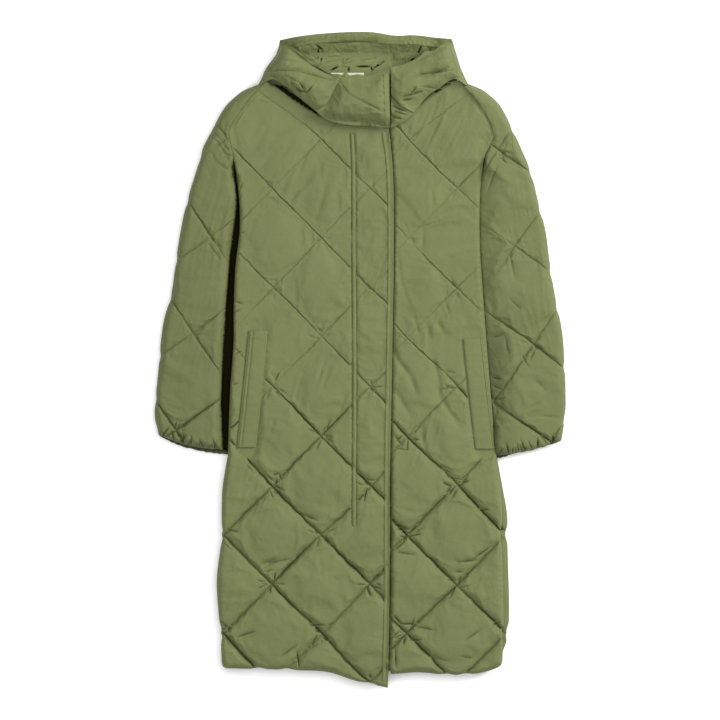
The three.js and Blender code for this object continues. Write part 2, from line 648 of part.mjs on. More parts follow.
const HOOD_SIDES = {
  Right: { lobe: 66, crease: table("x0 y0 x1 y1 depth width", [[-170, 584, -60, 560, 7, 15], [-96, 540, -60, 512, 5, 12]]) },
  Left: { lobe: 64, crease: table("x0 y0 x1 y1 depth width", [[196, 580, 110, 566, 6, 14], [128, 524, 84, 514, 7, 13], [150, 536, 118, 500, 4, 10]]) },
};

function hoodSideHeight({ lobe, crease }) {
  return (x, y) => crease.reduce((z, f) => {
    const { distance, t } = toSegment(x, y, f.x0, f.y0, f.x1, f.y1);
    return z - f.depth * Math.sin(Math.PI * mix(0.2, 0.8, t)) * (1 - smooth(distance / f.width));
  }, lobe);
}

// What the hood's sides and collar hang over: the highest of the finished pieces below a point.
const overhang = (height, ground) => (x, y) => Math.max(height(x, y) - HOOD_WALL, ground(x, y) + CLEAR);

function makeHoodSide(name, outline, ground) {
  const height = hoodSideHeight(HOOD_SIDES[name]);
  return panel({ outline, height, grid: plainGrid(13), under: overhang(height, ground), round: 26 });
}

function collarHeight(x, y) {
  const belly = Math.sin(Math.PI * clamp01((y - 452) / (590 - 452)));
  const crease = toSegment(x, y, -30, 548, 50, 500);
  return 58 + 16 * belly - 3 * (1 - smooth(crease.distance / 12));
}

// ---------------------------------------------------------------- assembly

place("back", makeBack());
const frontRight = place("front_right", makeFrontRight());
const frontLeft = place("front_left", makeFrontLeft());
place("sleeve_right", makeSleeveRight());
place("sleeve_left", makeSleeveLeft());
place("cuff_right", cuffWithMouth("wristRight", { x: -0.1, y: -1 }));
place("cuff_left", cuffWithMouth("wristLeft", { x: 0.1, y: -1 }));

const flyLine = table("x y", [[-16, 452], [-12, 380], [-12, 200], [-10, 0], [-12, -330]]);
place("fly_stitch_band", laidOn("front_right", { ...BAND, line: flyLine }));
const edgeLine = LINES.frontEdge.map((p) => ({ x: p.x - 8, y: THREE.MathUtils.clamp(p.y, -645, 455) }));
place("front_edge_band", laidOn("front_right", { ...BAND, line: edgeLine }));

place("pocket_welt_right", laidOn("front_right", { ...WELT, line: table("x y", [[-204, 57], [-214, -64], [-227, -174]]) }));
place("pocket_welt_left", laidOn("front_left", { ...WELT, line: table("x y", [[224, 40], [235, -64], [246, -176]]) }));

const hoodBack = place("hood_back", makeHoodBack());
const lining = place("hood_lining", laidOn("hood_back", {
  line: table("x y", [[-136, 594], [20, 598], [160, 594]]), width: 74, thick: 2, gap: 0.4,
}), materials.lining);
place("neck_label", laidOn("hood_lining", {
  line: table("x y", [[-56, 575], [10, 575]]), width: 22, thick: 1, gap: 0.4,
}), materials.label);
const rimLine = LINES.hoodTop.slice(0).map((p) => ({ x: THREE.MathUtils.clamp(p.x, -138, 164), y: p.y - 19 }));
place("hood_rim", strip({
  line: rimLine, width: RIM.width, across: 2, rows: RIM.ribs * 2, gap: 5,
  thick: (i, k) => RIM.thick - (i % 2) * RIM.gather - (k === 1 ? 0 : 1), surface: (x, y) => Math.max(hoodBack(x, y), lining(x, y)),
}));

const ground = (x, y) => Math.max(hoodBack(x, y), lining(x, y), frontRight(x, y), frontLeft(x, y), 0);
place("hood_side_right", makeHoodSide("Right", outlineOf(
  along("mouthRight", 54, { step: 15 }), along("chinSeamRight", 60, { step: 15 }),
  along("lobeRight", 48, { back: true, step: 15 }), along("hoodSilhouetteRight", 24, { back: true, step: 15 })), ground));
place("hood_side_left", makeHoodSide("Left", outlineOf(
  along("mouthLeft", 54, { step: 15 }), along("chinLeftTop", 58, { step: 15 }), along("chinLeftFold", 56, { step: 15 }),
  along("lobeLeft", 48, { back: true, step: 15 }), along("hoodSilhouetteLeft", 24, { back: true, step: 15 })), ground));
place("collar_right", panel({
  outline: outlineOf(
    along("chinTop", 58, { step: 15 }), along("chinEdge", 62, { step: 15 }), along("chinHem", 52, { step: 15 }),
    along("chinSeamRight", 60, { back: true, step: 15 })),
  height: collarHeight, grid: plainGrid(13), under: overhang(collarHeight, ground), round: 22,
}));
place("collar_left", panel({
  outline: outlineOf(
    along("chinLeftFold", 50, { step: 12 }), along("chinLeftHem", 46, { step: 12 }),
    [{ x: 62, y: 464, z: 48 }, { x: 62, y: 497, z: 50 }, { x: 62, y: 530, z: 50 }]),
  height: () => 56, grid: plainGrid(9), under: overhang(() => 56, ground), round: 12,
}));
const collarEdgeLine = LINES.chinEdge.map((p) => ({ x: p.x - 8, y: THREE.MathUtils.clamp(p.y, 471, 568) }));
place("collar_edge_band", laidOn("collar_right", { ...BAND, line: collarEdgeLine }));

export default coat;
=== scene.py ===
# %% [markdown]
# # A long quilted parka, laid out flat on its back
#
# The coat is soft: two layers of light nylon with padding between them, sewn together in diamonds.
# The imported model gives each piece its place and size, so this script never guesses a position. It
# dresses every piece in cloth instead: the padding is blown up by cloth simulation between its lines of
# stitching, and the thin trims are modelled on the surface that the simulation leaves.

# %% Load the frame
import math

import bmesh
import bpy
import numpy as np
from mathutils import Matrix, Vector, geometry, noise
from mathutils.bvhtree import BVHTree
from mathutils.kdtree import KDTree


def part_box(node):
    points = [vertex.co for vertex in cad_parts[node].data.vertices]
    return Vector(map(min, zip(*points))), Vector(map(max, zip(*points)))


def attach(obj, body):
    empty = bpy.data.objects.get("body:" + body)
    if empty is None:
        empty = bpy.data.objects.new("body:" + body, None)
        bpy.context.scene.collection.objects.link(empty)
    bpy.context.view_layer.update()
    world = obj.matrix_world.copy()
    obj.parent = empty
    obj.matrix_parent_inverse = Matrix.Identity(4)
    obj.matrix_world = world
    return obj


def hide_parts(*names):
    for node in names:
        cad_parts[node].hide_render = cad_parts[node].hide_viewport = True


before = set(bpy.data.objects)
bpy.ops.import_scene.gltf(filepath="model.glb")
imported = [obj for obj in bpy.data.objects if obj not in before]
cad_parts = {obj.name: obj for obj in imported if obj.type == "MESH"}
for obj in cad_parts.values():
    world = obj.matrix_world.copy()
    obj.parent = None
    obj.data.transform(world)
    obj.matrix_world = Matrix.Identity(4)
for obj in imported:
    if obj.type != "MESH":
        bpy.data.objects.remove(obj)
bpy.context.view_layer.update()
bpy.ops.object.select_all(action="DESELECT")
scene = bpy.context.scene

# %% [markdown]
# ## The view, the light and the floor
#
# The coat is seen from straight above, with the hood at the top. A long lens far away keeps the outline
# true, as a flat-lay studio does. One big soft light stands low on the coat's left, a little towards the
# hood, so that every diamond is bright on one side and shaded on the other. Weak lights fill the shadows.

# %% Camera, lights and floor
VIEW_WIDTH = 1.44  # metres that the picture is wide, at the coat's middle height
CAMERA_HEIGHT = 12.0
MIDDLE_HEIGHT = 0.03


def aim(thing, target):
    """Turns a light or camera to look at a point."""
    direction = Vector(target) - thing.location
    thing.rotation_euler = direction.to_track_quat("-Z", "Y").to_euler()


def area_light(name, place, size, watts, colour=(1, 1, 1)):
    data = bpy.data.lights.new(name, "AREA")
    data.shape, data.size, data.energy, data.color = "DISK", size, watts, colour
    lamp = bpy.data.objects.new(name, data)
    scene.collection.objects.link(lamp)
    lamp.location = place
    aim(lamp, (0, 0, 0))


camera_data = bpy.data.cameras.new("overhead")
camera_data.sensor_width = 36
camera_data.lens = 36 * (CAMERA_HEIGHT - MIDDLE_HEIGHT) / VIEW_WIDTH
camera = bpy.data.objects.new("overhead", camera_data)
scene.collection.objects.link(camera)
camera.location = (0, 0, CAMERA_HEIGHT)
camera_data.clip_end = 100
scene.camera = camera

area_light("window", (3.5, 2.0, 2.55), 2.4, 276, (1.0, 0.995, 0.98))
area_light("ceiling", (0.0, 0.4, 4.0), 4.0, 136)
area_light("fill", (-2.5, -1.5, 2.2), 2.5, 16)

world = bpy.data.worlds.new("studio")
world.use_nodes = True
world.node_tree.nodes["Background"].inputs["Color"].default_value = (1, 1, 1, 1)
world.node_tree.nodes["Background"].inputs["Strength"].default_value = 0.47
scene.world = world
scene.view_settings.view_transform = "Standard"

bpy.ops.mesh.primitive_plane_add(size=30, location=(0, 0, -0.0005))
floor = bpy.context.active_object
floor.name = "floor"
paper = bpy.data.materials.new("white_paper")
paper.use_nodes = True
paper.node_tree.nodes["Principled BSDF"].inputs["Base Color"].default_value = (0.96, 0.96, 0.96, 1)
paper.node_tree.nodes["Principled BSDF"].inputs["Roughness"].default_value = 0.9
floor.data.materials.append(paper)
floor.select_set(False)
print("camera lens:", round(camera_data.lens), "mm")

# %% [markdown]
# ## The cloth
#
# The shell is a plain-weave nylon, olive green, with a soft silky sheen. Its colour hardly varies, but the
# light does: a fine weave and a faint crinkle, left by folding, break the surface up. Both are bump here,
# because they are finer than the mesh. The patterns read Object coordinates, so they stay on the coat.

# %% A material for woven cloth
DEEP_SHADE = (0.006, 0.006, 0.001)  # cloth far down in a gap, where next to no light comes


def add_bump(tree, height, strength, distance, under=None):
    """A bump node in a material's node tree, over another one if there is one under it."""
    node = tree.nodes.new("ShaderNodeBump")
    node.inputs["Strength"].default_value = strength
    node.inputs["Distance"].default_value = distance
    tree.links.new(height, node.inputs["Height"])
    if under:
        tree.links.new(under, node.inputs["Normal"])
    return node.outputs["Normal"]


def woven_cloth(name, colour, deep, roughness=0.5, sheen=0.3, crinkle=0.5):
    """Plain-weave cloth: a main colour, a deeper one in patches, a crinkle and a weave in its bump."""
    made = bpy.data.materials.new(name)
    made.use_nodes = True
    tree = made.node_tree
    nodes, links = tree.nodes, tree.links
    shader = nodes["Principled BSDF"]
    shader.inputs["Roughness"].default_value = roughness
    shader.inputs["Sheen Weight"].default_value = sheen
    shader.inputs["Sheen Roughness"].default_value = 0.35
    shader.inputs["Sheen Tint"].default_value = (0.9, 1.0, 0.75, 1)
    shader.inputs["Specular IOR Level"].default_value = 0.10

    place = nodes.new("ShaderNodeTexCoord")
    patches = nodes.new("ShaderNodeTexNoise")
    patches.inputs["Scale"].default_value = 14
    patches.inputs["Detail"].default_value = 5
    links.new(place.outputs["Object"], patches.inputs["Vector"])
    tint = nodes.new("ShaderNodeValToRGB")
    tint.color_ramp.elements[0].position, tint.color_ramp.elements[1].position = 0.32, 0.62
    tint.color_ramp.elements[0].color = (*deep, 1)
    tint.color_ramp.elements[1].color = (*colour, 1)
    links.new(patches.outputs["Fac"], tint.inputs["Fac"])
    # painted deep shade: the shade attribute mixes the colour towards DEEP_SHADE
    shade = nodes.new("ShaderNodeAttribute")
    shade.attribute_name = "shade"
    dark = nodes.new("ShaderNodeMix")
    dark.data_type = "RGBA"
    dark.inputs["B"].default_value = (*DEEP_SHADE, 1)
    links.new(shade.outputs["Fac"], dark.inputs["Factor"])
    links.new(tint.outputs["Color"], dark.inputs["A"])
    links.new(dark.outputs["Result"], shader.inputs["Base Color"])

    folds = nodes.new("ShaderNodeTexNoise")
    folds.inputs["Scale"].default_value = 42
    folds.inputs["Detail"].default_value = 4
    folds.inputs["Distortion"].default_value = 0.6
    links.new(place.outputs["Object"], folds.inputs["Vector"])
    creased = add_bump(tree, folds.outputs["Fac"], crinkle, 0.004)
    weave = None
    for turn in (0, math.pi / 2):
        turned = nodes.new("ShaderNodeMapping")
        turned.inputs["Rotation"].default_value = (0, 0, turn)
        links.new(place.outputs["Object"], turned.inputs["Vector"])
        threads = nodes.new("ShaderNodeTexWave")
        threads.inputs["Scale"].default_value = 260
        threads.inputs["Distortion"].default_value = 0.4
        links.new(turned.outputs["Vector"], threads.inputs["Vector"])
        if weave is None:
            weave = threads
            continue
        crossing = nodes.new("ShaderNodeMath")
        crossing.operation = "MULTIPLY"
        links.new(weave.outputs["Fac"], crossing.inputs[0])
        links.new(threads.outputs["Fac"], crossing.inputs[1])
        woven = add_bump(tree, crossing.outputs["Value"], 0.12, 0.0003, creased)
        links.new(woven, shader.inputs["Normal"])
    return made


SHELL = woven_cloth("shell_nylon", (0.111, 0.126, 0.050), (0.103, 0.117, 0.046), 0.6, 0.02)
# painted deep shade: a near-black copy of the shell, for faces that lie deep in a gap
DEEP = woven_cloth("shell_in_deep_shade", DEEP_SHADE, DEEP_SHADE, 0.95, 0.0, 0.2)
DEEP.node_tree.nodes["Principled BSDF"].inputs["Specular IOR Level"].default_value = 0.05
# painted light: the lining is the shell's cloth, painted lighter for the brighter light in the hood
LINING_PAINTED_LIGHTER = woven_cloth("hood_lining_painted_lighter", (0.136, 0.154, 0.061), (0.126, 0.143, 0.056), 0.6, 0.02)
LABEL = woven_cloth("label_satin", (0.56, 0.55, 0.44), (0.50, 0.49, 0.39), 0.45, 0.1, 0.2)
THREAD = woven_cloth("sewing_thread", (0.105, 0.122, 0.043), (0.09, 0.105, 0.036), 0.6, 0.1, 0.1)
print("materials:", [m.name for m in bpy.data.materials])

# %% [markdown]
# ## From a piece of the frame to a sheet of cloth
#
# Each padded piece of the frame is a slab with a raised outer face. The line where that face meets the
# piece's side is the seam that a maker would sew, so it is read back from the frame and drawn finer.
# Inside it go points in rows that run along the quilting, so that the stitching falls exactly on edges.

# %% Read a seam line from the frame
CORNER = math.radians(34)


def seam_line(node, spacing):
    """The edge of a node's outer face, as a closed row of points about a spacing apart."""
    form = bmesh.new()
    form.from_mesh(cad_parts[node].data)
    bmesh.ops.remove_doubles(form, verts=form.verts, dist=1e-5)
    form.normal_update()
    follow = {}
    for edge in form.edges:
        up = [f.normal.z > 0.005 for f in edge.link_faces]
        if up[0] != up[1]:
            a, b = edge.verts
            follow.setdefault(a, []).append(b)
            follow.setdefault(b, []).append(a)
    loops, seen = [], set()
    for start in sorted(follow, key=lambda v: (len(follow[v]), -v.co.z)):
        loop, at = [], start
        while at is not None and at not in seen:
            seen.add(at)
            loop.append(at.co.copy())
            way = (loop[-1] - loop[-2]).normalized() if len(loop) > 1 else Vector()
            at = max(
                (v for v in follow[at] if v not in seen), default=None,
                key=lambda v: way.dot((v.co - at.co).normalized()) + 20 * v.co.z,
            )
        loops.append(loop)
    form.free()
    longest = max(loops, key=lambda loop: sum((a - b).length for a, b in zip(loop, loop[1:])))
    return finer_line(np.array(longest), spacing)


def finer_line(points, spacing):
    """A closed line redrawn as smooth curves between its corners, with its points evenly spaced."""
    keep = [0]
    for i in range(1, len(points)):
        if np.linalg.norm(points[i] - points[keep[-1]]) > 0.002:
            keep.append(i)
    points = points[keep]
    area = np.sum(points[:, 0] * np.roll(points[:, 1], -1) - np.roll(points[:, 0], -1) * points[:, 1])
    if area < 0:
        points = points[::-1]
    ahead = np.roll(points, -1, 0) - points
    behind = points - np.roll(points, 1, 0)
    turn = np.arctan2(
        behind[:, 0] * ahead[:, 1] - behind[:, 1] * ahead[:, 0], (behind[:, :2] * ahead[:, :2]).sum(1)
    )
    corners = [i for i in range(len(points)) if abs(turn[i]) > CORNER] or [0]
    line = []
    for here, there in zip(corners, corners[1:] + [corners[0] + len(points)]):
        run = points[[i % len(points) for i in range(here, there + 1)]]
        line.extend(smooth_run(run, spacing)[:-1])
    return np.array(line)


def smooth_run(run, spacing):
    """Points evenly spaced along a smooth curve through a row of points, with both ends kept."""
    padded = np.vstack([2 * run[0] - run[1], run, 2 * run[-1] - run[-2]])
    curve = []
    for i in range(1, len(padded) - 2):
        p0, p1, p2, p3 = padded[i - 1 : i + 3]
        for t in np.linspace(0, 1, 9)[:-1]:
            curve.append(
                0.5 * (2 * p1 + (p2 - p0) * t + (2 * p0 - 5 * p1 + 4 * p2 - p3) * t * t
                       + (3 * p1 - p0 - 3 * p2 + p3) * t**3)
            )
    curve = np.array(curve + [run[-1]])
    far = np.concatenate([[0], np.cumsum(np.linalg.norm(np.diff(curve, axis=0), axis=1))])
    count = max(1, round(far[-1] / spacing))
    even = np.linspace(0, far[-1], count + 1)
    return np.stack([np.interp(even, far, curve[:, k]) for k in range(3)], 1)


# %% Measure places against a seam line


def inside(line, points):
    """Which points lie within a closed line, seen from above."""
    x, y = points[:, 0][:, None], points[:, 1][:, None]
    x0, y0 = line[:, 0], line[:, 1]
    x1, y1 = np.roll(x0, -1), np.roll(y0, -1)
    with np.errstate(divide="ignore", invalid="ignore"):
        crossed = ((y0 > y) != (y1 > y)) & (x < (x1 - x0) * (y - y0) / (y1 - y0) + x0)
    return crossed.sum(1) % 2 == 1


def to_line(line, points):
    """Each point's distance from a closed line seen from above, and the line's height there."""
    best = np.full(len(points), 1e9)
    height = np.zeros(len(points))
    for a, b in zip(line, np.roll(line, -1, 0)):
        along = b[:2] - a[:2]
        t = np.clip(((points[:, :2] - a[:2]) @ along) / (along @ along), 0, 1)
        gap = np.hypot(*(points[:, :2] - a[:2] - t[:, None] * along).T)
        nearer = gap < best
        best[nearer] = gap[nearer]
        height[nearer] = (a[2] + (b[2] - a[2]) * t)[nearer]
    return best, height


def smoothstep(t):
    t = np.clip(t, 0, 1)
    return t * t * (3 - 2 * t)


def quarter_round(t):
    return np.sqrt(1 - (1 - np.clip(t, 0, 1)) ** 2)


# %% [markdown]
# ## Quilting
#
# The stitching runs in two directions and makes diamonds, half a diamond to the next crossing each way. A
# place is described by how many half diamonds it is from one crossing, along and across, so a line of
# stitching is wherever the sum or the difference of the two is even. Real stitching wanders by a millimetre
# or two, because the padding shifts under the needle, so the lattice here is bent a little as well.

# %% The lattice of stitching
HALF_WIDTH, HALF_HEIGHT = 0.0975, 0.099  # half a diamond
WANDER = 0.0022  # how far a line of stitching strays
WANDER_SEED = 1795411621  # without a seed, noise_vector takes one from the clock and no two runs agree
noise.seed_set(WANDER_SEED)


class Quilting:
    """Diamonds of stitching from one crossing at (x, y), turned by some degrees.

    pull is how far the lattice is drawn sideways where the shoulder was eased into the sleeve.
    """

    def __init__(self, x, y, degrees=0, seed=0, pull=0.0):
        self.x, self.y, self.seed, self.pull = x, y, seed, pull
        self.c, self.s = math.cos(math.radians(degrees)), math.sin(math.radians(degrees))

    def drawn(self, x, y):
        """How far the lattice is drawn sideways at a place, near a shoulder."""
        high = np.clip((y - 0.440) / 0.09, 0, 1.3) ** 1.3
        return self.pull * high * smoothstep((np.abs(x) - 0.05) / 0.07)

    def place(self, u, v):
        """The point u diamonds along one direction of stitching and v along the other."""
        a, b = (u + v) * HALF_WIDTH, (u - v) * HALF_HEIGHT
        x, y = self.x + a * self.c - b * self.s, self.y + a * self.s + b * self.c
        return x + self.drawn(x, y), y

    def measure(self, x, y):
        """The same two numbers for points."""
        flat = x
        for _ in range(4):
            flat = x - self.drawn(flat, y)
        a = ((flat - self.x) * self.c + (y - self.y) * self.s) / HALF_WIDTH
        b = (-(flat - self.x) * self.s + (y - self.y) * self.c) / HALF_HEIGHT
        return (a + b) / 2, (a - b) / 2

    def stray(self, points):
        """Moves points with the wandering of the stitching."""
        moved = points.copy()
        for k, (x, y) in enumerate(points[:, :2]):
            shift = noise.noise_vector(Vector((x * 8, y * 8, self.seed)))
            fine = noise.noise_vector(Vector((x * 60, y * 60, self.seed + 2.5)))
            moved[k, 0] += WANDER * (2 * shift.x + 0.5 * fine.x)
            moved[k, 1] += WANDER * (2 * shift.y + 0.5 * fine.y)
        return moved


def firmness(points, k):
    """How firmly the stitching is drawn in, for lines that fall (k = 0) or rise (k = 1) to the right."""
    low = smoothstep((0.10 - points[:, 1]) / 0.30)
    base = (0.60 + 0.45 * low) if k == 0 else (0.38 + 0.42 * low)
    out = np.zeros(len(points))
    for i, (x, y) in enumerate(points[:, :2]):
        out[i] = noise.noise(Vector((x * 13, y * 13, 4.7 + k)))
    return np.clip(base + 0.45 * out, 0.12, 1.15)


ROWS = 28  # rows of points to a diamond
SEAM_HOLD = 0.75  # how deep an extra seam is pressed in, against the quilting
SHARP, NARROW = 0.0030, 0.0055  # folds this deep and narrow are sharp, with deep shade in them
PINNED = 0.42  # stitching less firm than this doesn't hold the padding down
CROWD = 0.5  # how much closer the rows are beside the stitching
CLEAR = 0.0022  # how far a fold's own points stay from a seam
SIDE = math.hypot(HALF_WIDTH, HALF_HEIGHT)  # length of a diamond's side
STEP = SIDE / ROWS

# %% A sheet of cloth with the stitching on its edges


def beside_folds(rows):
    """Points along each sharp fold and close to it on both sides."""
    found = {}
    for x0, y0, x1, y1, depth, width in rows:
        if depth < SHARP or width > NARROW:
            continue
        long = math.hypot(x1 - x0, y1 - y0)
        for t in np.linspace(-0.05, 1.05, max(2, round(long / 0.0030))):
            for off in (0.0, 0.0017, -0.0015):
                x = x0 + (x1 - x0) * t - (y1 - y0) / long * off
                y = y0 + (y1 - y0) * t + (x1 - x0) / long * off
                found[round(x / 0.0012), round(y / 0.0012)] = (x, y, 0.0)
    return np.array(list(found.values())).reshape(-1, 3)


def lattice_points(line, quilting, seams, rows, quilted):
    """Points in rows along the stitching, where they are on the lattice, and how firmly they are sewn."""
    step = SIDE / rows
    u, v = quilting.measure(line[:, 0], line[:, 1])
    grid = np.array(
        [(i, j) for i in range(math.floor(u.min() * rows) - 1, math.ceil(u.max() * rows) + 2)
         for j in range(math.floor(v.min() * rows) - 1, math.ceil(v.max() * rows) + 2)]
    )
    where = grid / rows - (CROWD * np.sin(2 * np.pi * grid / rows) / (2 * np.pi) if quilted else 0)
    points = np.zeros((len(grid), 3))
    points[:, 0], points[:, 1] = quilting.place(*where.T)
    points = quilting.stray(points)
    keep = inside(line, points)
    points, grid, where = points[keep], grid[keep], where[keep]
    keep = to_line(line, points)[0] > 0.6 * step
    for seam in seams:
        keep &= to_path(seam, points) > 0.5 * step
    points, grid, where = points[keep], grid[keep], where[keep]
    firm = [(grid[:, k] % rows == 0) * firmness(points, k) for k in (0, 1)]
    return points, where, quilted * np.maximum(*firm)


def swap_in(extra, points, where, stitched, quilting):
    """Puts extra points in place of those that crowd them. A point that is sewn stays."""
    tree = KDTree(len(points))
    for i, point in enumerate(points):
        tree.insert(point, i)
    tree.balance()
    crowded = np.zeros(len(points), bool)
    fits = np.ones(len(extra), bool)
    for i, point in enumerate(extra):
        for _, j, far in tree.find_range(point, 0.0019):
            if stitched[j] and far < 0.0013:
                fits[i] = False
            crowded[j] = crowded[j] or not stitched[j]
    extra = extra[fits]
    points = np.vstack([points[~crowded], extra])
    where = np.vstack([where[~crowded], np.stack(quilting.measure(extra[:, 0], extra[:, 1]), 1)])
    return points, where, np.concatenate([stitched[~crowded], np.zeros(len(extra))])


def cloth_sheet(name, line, quilting, height, seams=(), rows=ROWS, quilted=True, folds=()):
    """A sheet inside a seam line, with points in rows along the stitching and on each extra seam.

    height(points, u, v) raises it, and points are added beside folds. Returns the sheet and how firmly
    each of its points is stitched down.
    """
    points, where, stitched = lattice_points(line, quilting, seams, rows, quilted)
    extra = beside_folds(folds)
    if len(extra):
        extra = extra[inside(line, extra)]
        extra = extra[to_line(line, extra)[0] > CLEAR]
        for seam in seams:
            extra = extra[to_path(seam, extra) > CLEAR]
        points, where, stitched = swap_in(extra, points, where, stitched, quilting)

    groups = [line, points, *seams]
    starts = np.cumsum([0] + [len(g) for g in groups])
    flat = [Vector(p[:2]) for g in groups for p in g]
    rim = len(line)
    edges = [(i, (i + 1) % rim) for i in range(rim)]
    for start, seam in zip(starts[2:], seams):
        edges += [(start + i, start + i + 1) for i in range(len(seam) - 1)]
    _, _, faces, came_from, _, _ = geometry.delaunay_2d_cdt(flat, edges, [], 1, 1e-7)
    source = np.array([c[0] for c in came_from])
    every = np.vstack(groups)[source]
    lattice = np.zeros((len(flat), 2))
    lattice[rim : starts[2]] = where
    for k in (0, *range(2, len(groups))):
        part = slice(starts[k], starts[k] + len(groups[k]))
        lattice[part] = np.stack(quilting.measure(groups[k][:, 0], groups[k][:, 1]), 1)
    held = np.concatenate([np.full(rim, 0.5), stitched, np.full(len(flat) - starts[2], SEAM_HOLD)])
    every[:, 2] = height(every, *lattice[source].T)

    mesh = bpy.data.meshes.new(name)
    mesh.from_pydata(every.tolist(), [], [list(f) for f in faces])
    mesh.update()
    if sum(p.normal.z for p in mesh.polygons) < 0:
        mesh.flip_normals()
    sheet = bpy.data.objects.new(name, mesh)
    scene.collection.objects.link(sheet)
    return sheet, held[source]


def to_path(path, points):
    """Each point's distance from an open row of points, seen from above."""
    best = np.full(len(points), 1e9)
    for a, b in zip(path, path[1:]):
        along = b[:2] - a[:2]
        t = np.clip(((points[:, :2] - a[:2]) @ along) / (along @ along), 0, 1)
        best = np.minimum(best, np.hypot(*(points[:, :2] - a[:2] - t[:, None] * along).T))
    return best


# %% Blow a sheet up between its lines of stitching
FRAMES = 20


def places(piece):
    co = np.zeros(len(piece.data.vertices) * 3)
    piece.data.vertices.foreach_get("co", co)
    return co.reshape(-1, 3)


def put(piece, co):
    piece.data.vertices.foreach_set("co", co.ravel())
    piece.data.update()


def only(piece):
    """Makes a piece the only selected and the active one."""
    bpy.ops.object.select_all(action="DESELECT")
    bpy.context.view_layer.objects.active = piece
    piece.select_set(True)


def outward(mesh):
    """Drops a mesh's loose points and turns its faces outwards."""
    form = bmesh.new()
    form.from_mesh(mesh)
    bmesh.ops.delete(form, geom=[v for v in form.verts if not v.link_faces], context="VERTS")
    bmesh.ops.recalc_face_normals(form, faces=form.faces)
    form.to_mesh(mesh)
    form.free()


def closed_piece(name, points, faces):
    """A new object from the points and faces of a closed mesh."""
    mesh = bpy.data.meshes.new(name)
    mesh.from_pydata(points, [], faces)
    outward(mesh)
    piece = bpy.data.objects.new(name, mesh)
    scene.collection.objects.link(piece)
    only(piece)
    return piece


def blow_up(sheet, held, pressure, spare, cap):
    """Cloth simulation with pressure. spare is how much longer the cloth is than its own shape."""
    only(sheet)
    sewn = sheet.vertex_groups.new(name="sewn")
    sewn.add(np.flatnonzero(held > PINNED).tolist(), 1.0, "REPLACE")
    before = places(sheet)
    cloth = sheet.modifiers.new("padding", "CLOTH")
    stuff = cloth.settings
    stuff.quality, stuff.mass, stuff.air_damping = 6, 0.15, 3
    stuff.tension_stiffness = stuff.compression_stiffness = 12
    stuff.shear_stiffness, stuff.bending_stiffness = 4, 0.12
    stuff.vertex_group_mass = "sewn"
    stuff.use_pressure, stuff.uniform_pressure_force = True, pressure
    stuff.shrink_min = stuff.shrink_max = -spare
    stuff.effector_weights.gravity = 0
    for step in range(1, FRAMES + 1):
        scene.frame_set(step)
    bpy.ops.object.modifier_apply(modifier="padding")
    scene.frame_set(1)
    moved = places(sheet) - before
    moved[:, 2] = np.maximum(moved[:, 2], 0)
    far = np.linalg.norm(moved, axis=1)
    moved *= np.minimum(1, cap / np.maximum(far, 1e-9))[:, None]
    put(sheet, before + moved)
    sheet.vertex_groups.clear()
    print(sheet.name, "rose by", round(float(moved[:, 2].mean()) * 1000, 1), "mm on average")


# %% [markdown]
# ## Padded form
#
# Padding fills each diamond almost to its stitching, so a diamond is nearly flat on top and drops into a
# narrow groove. The form is set by formula first and the simulation then adds what a formula cannot: the
# little tucks where the spare cloth has to go.

# %% How high the padding stands
GROOVE = 0.0026  # how far from the stitching the padding has risen by two thirds
# painted shade in the groove of each line of stitching, where the padding keeps the light out
STITCH_SHADE = 0.46  # how dark the line of stitching is
PRESS = 0.0034  # how far a stitch sinks into the cloth


def loft(u, v, groove=GROOVE, firm=(1.0, 1.0)):
    """0 on the stitching, and nearly 1 over most of a diamond."""
    across = [np.abs(t - np.round(t)) * SIDE for t in (u, v)]
    rise = [(1 - f * np.exp(-d / groove)) for d, f in zip(across, firm)]
    dome = np.abs(np.sin(np.pi * u) * np.sin(np.pi * v))
    return rise[0] * rise[1] * (0.8 + 0.2 * dome)


def creases(points, seed, along=(0.35, 1.0), width=0.0075, length=0.07, depth=0.0015):
    """Fine drape creases: ridges much longer than wide, in patches."""
    way = Vector(along).normalized()
    out = np.zeros(len(points))
    for k, (x, y) in enumerate(points[:, :2]):
        bend = 0.02 * noise.noise(Vector((x * 7, y * 7, seed + 3.1)))
        a, b = x * way.y - y * way.x + bend, x * way.x + y * way.y
        wave = noise.noise(Vector((a / width, b / length, seed)))
        patch = noise.noise(Vector((x * 9, y * 6, seed + 7.3)))
        out[k] = (0.6 * wave - max(0.0, 1 - 5 * abs(wave)) * 0.25) * max(0.0, 0.25 + patch * 2.2)
    return out * depth


def gathers(points, quilting, seed, reach=0.005, depth=0.0009):
    """Small puckers across each line of stitching, where the thread draws the cloth in."""
    out = np.zeros(len(points))
    lattice = np.stack(quilting.measure(points[:, 0], points[:, 1]), 1)
    for k in (0, 1):
        off = (lattice[:, k] - np.round(lattice[:, k])) * SIDE
        for i in np.flatnonzero(np.abs(off) < 3 * reach):
            run = lattice[i, 1 - k] * SIDE
            number = round(lattice[i, k])
            pull = noise.noise(Vector((run / 0.0045, math.copysign(3.0, off[i]), number * 5.1 + seed)))
            some = noise.noise(Vector((run / 0.05, 9.0, number * 3.3 + seed)))
            out[i] += pull * math.exp(-abs(off[i]) / reach) * max(0.15, 0.5 + 1.6 * some)
    return out * depth


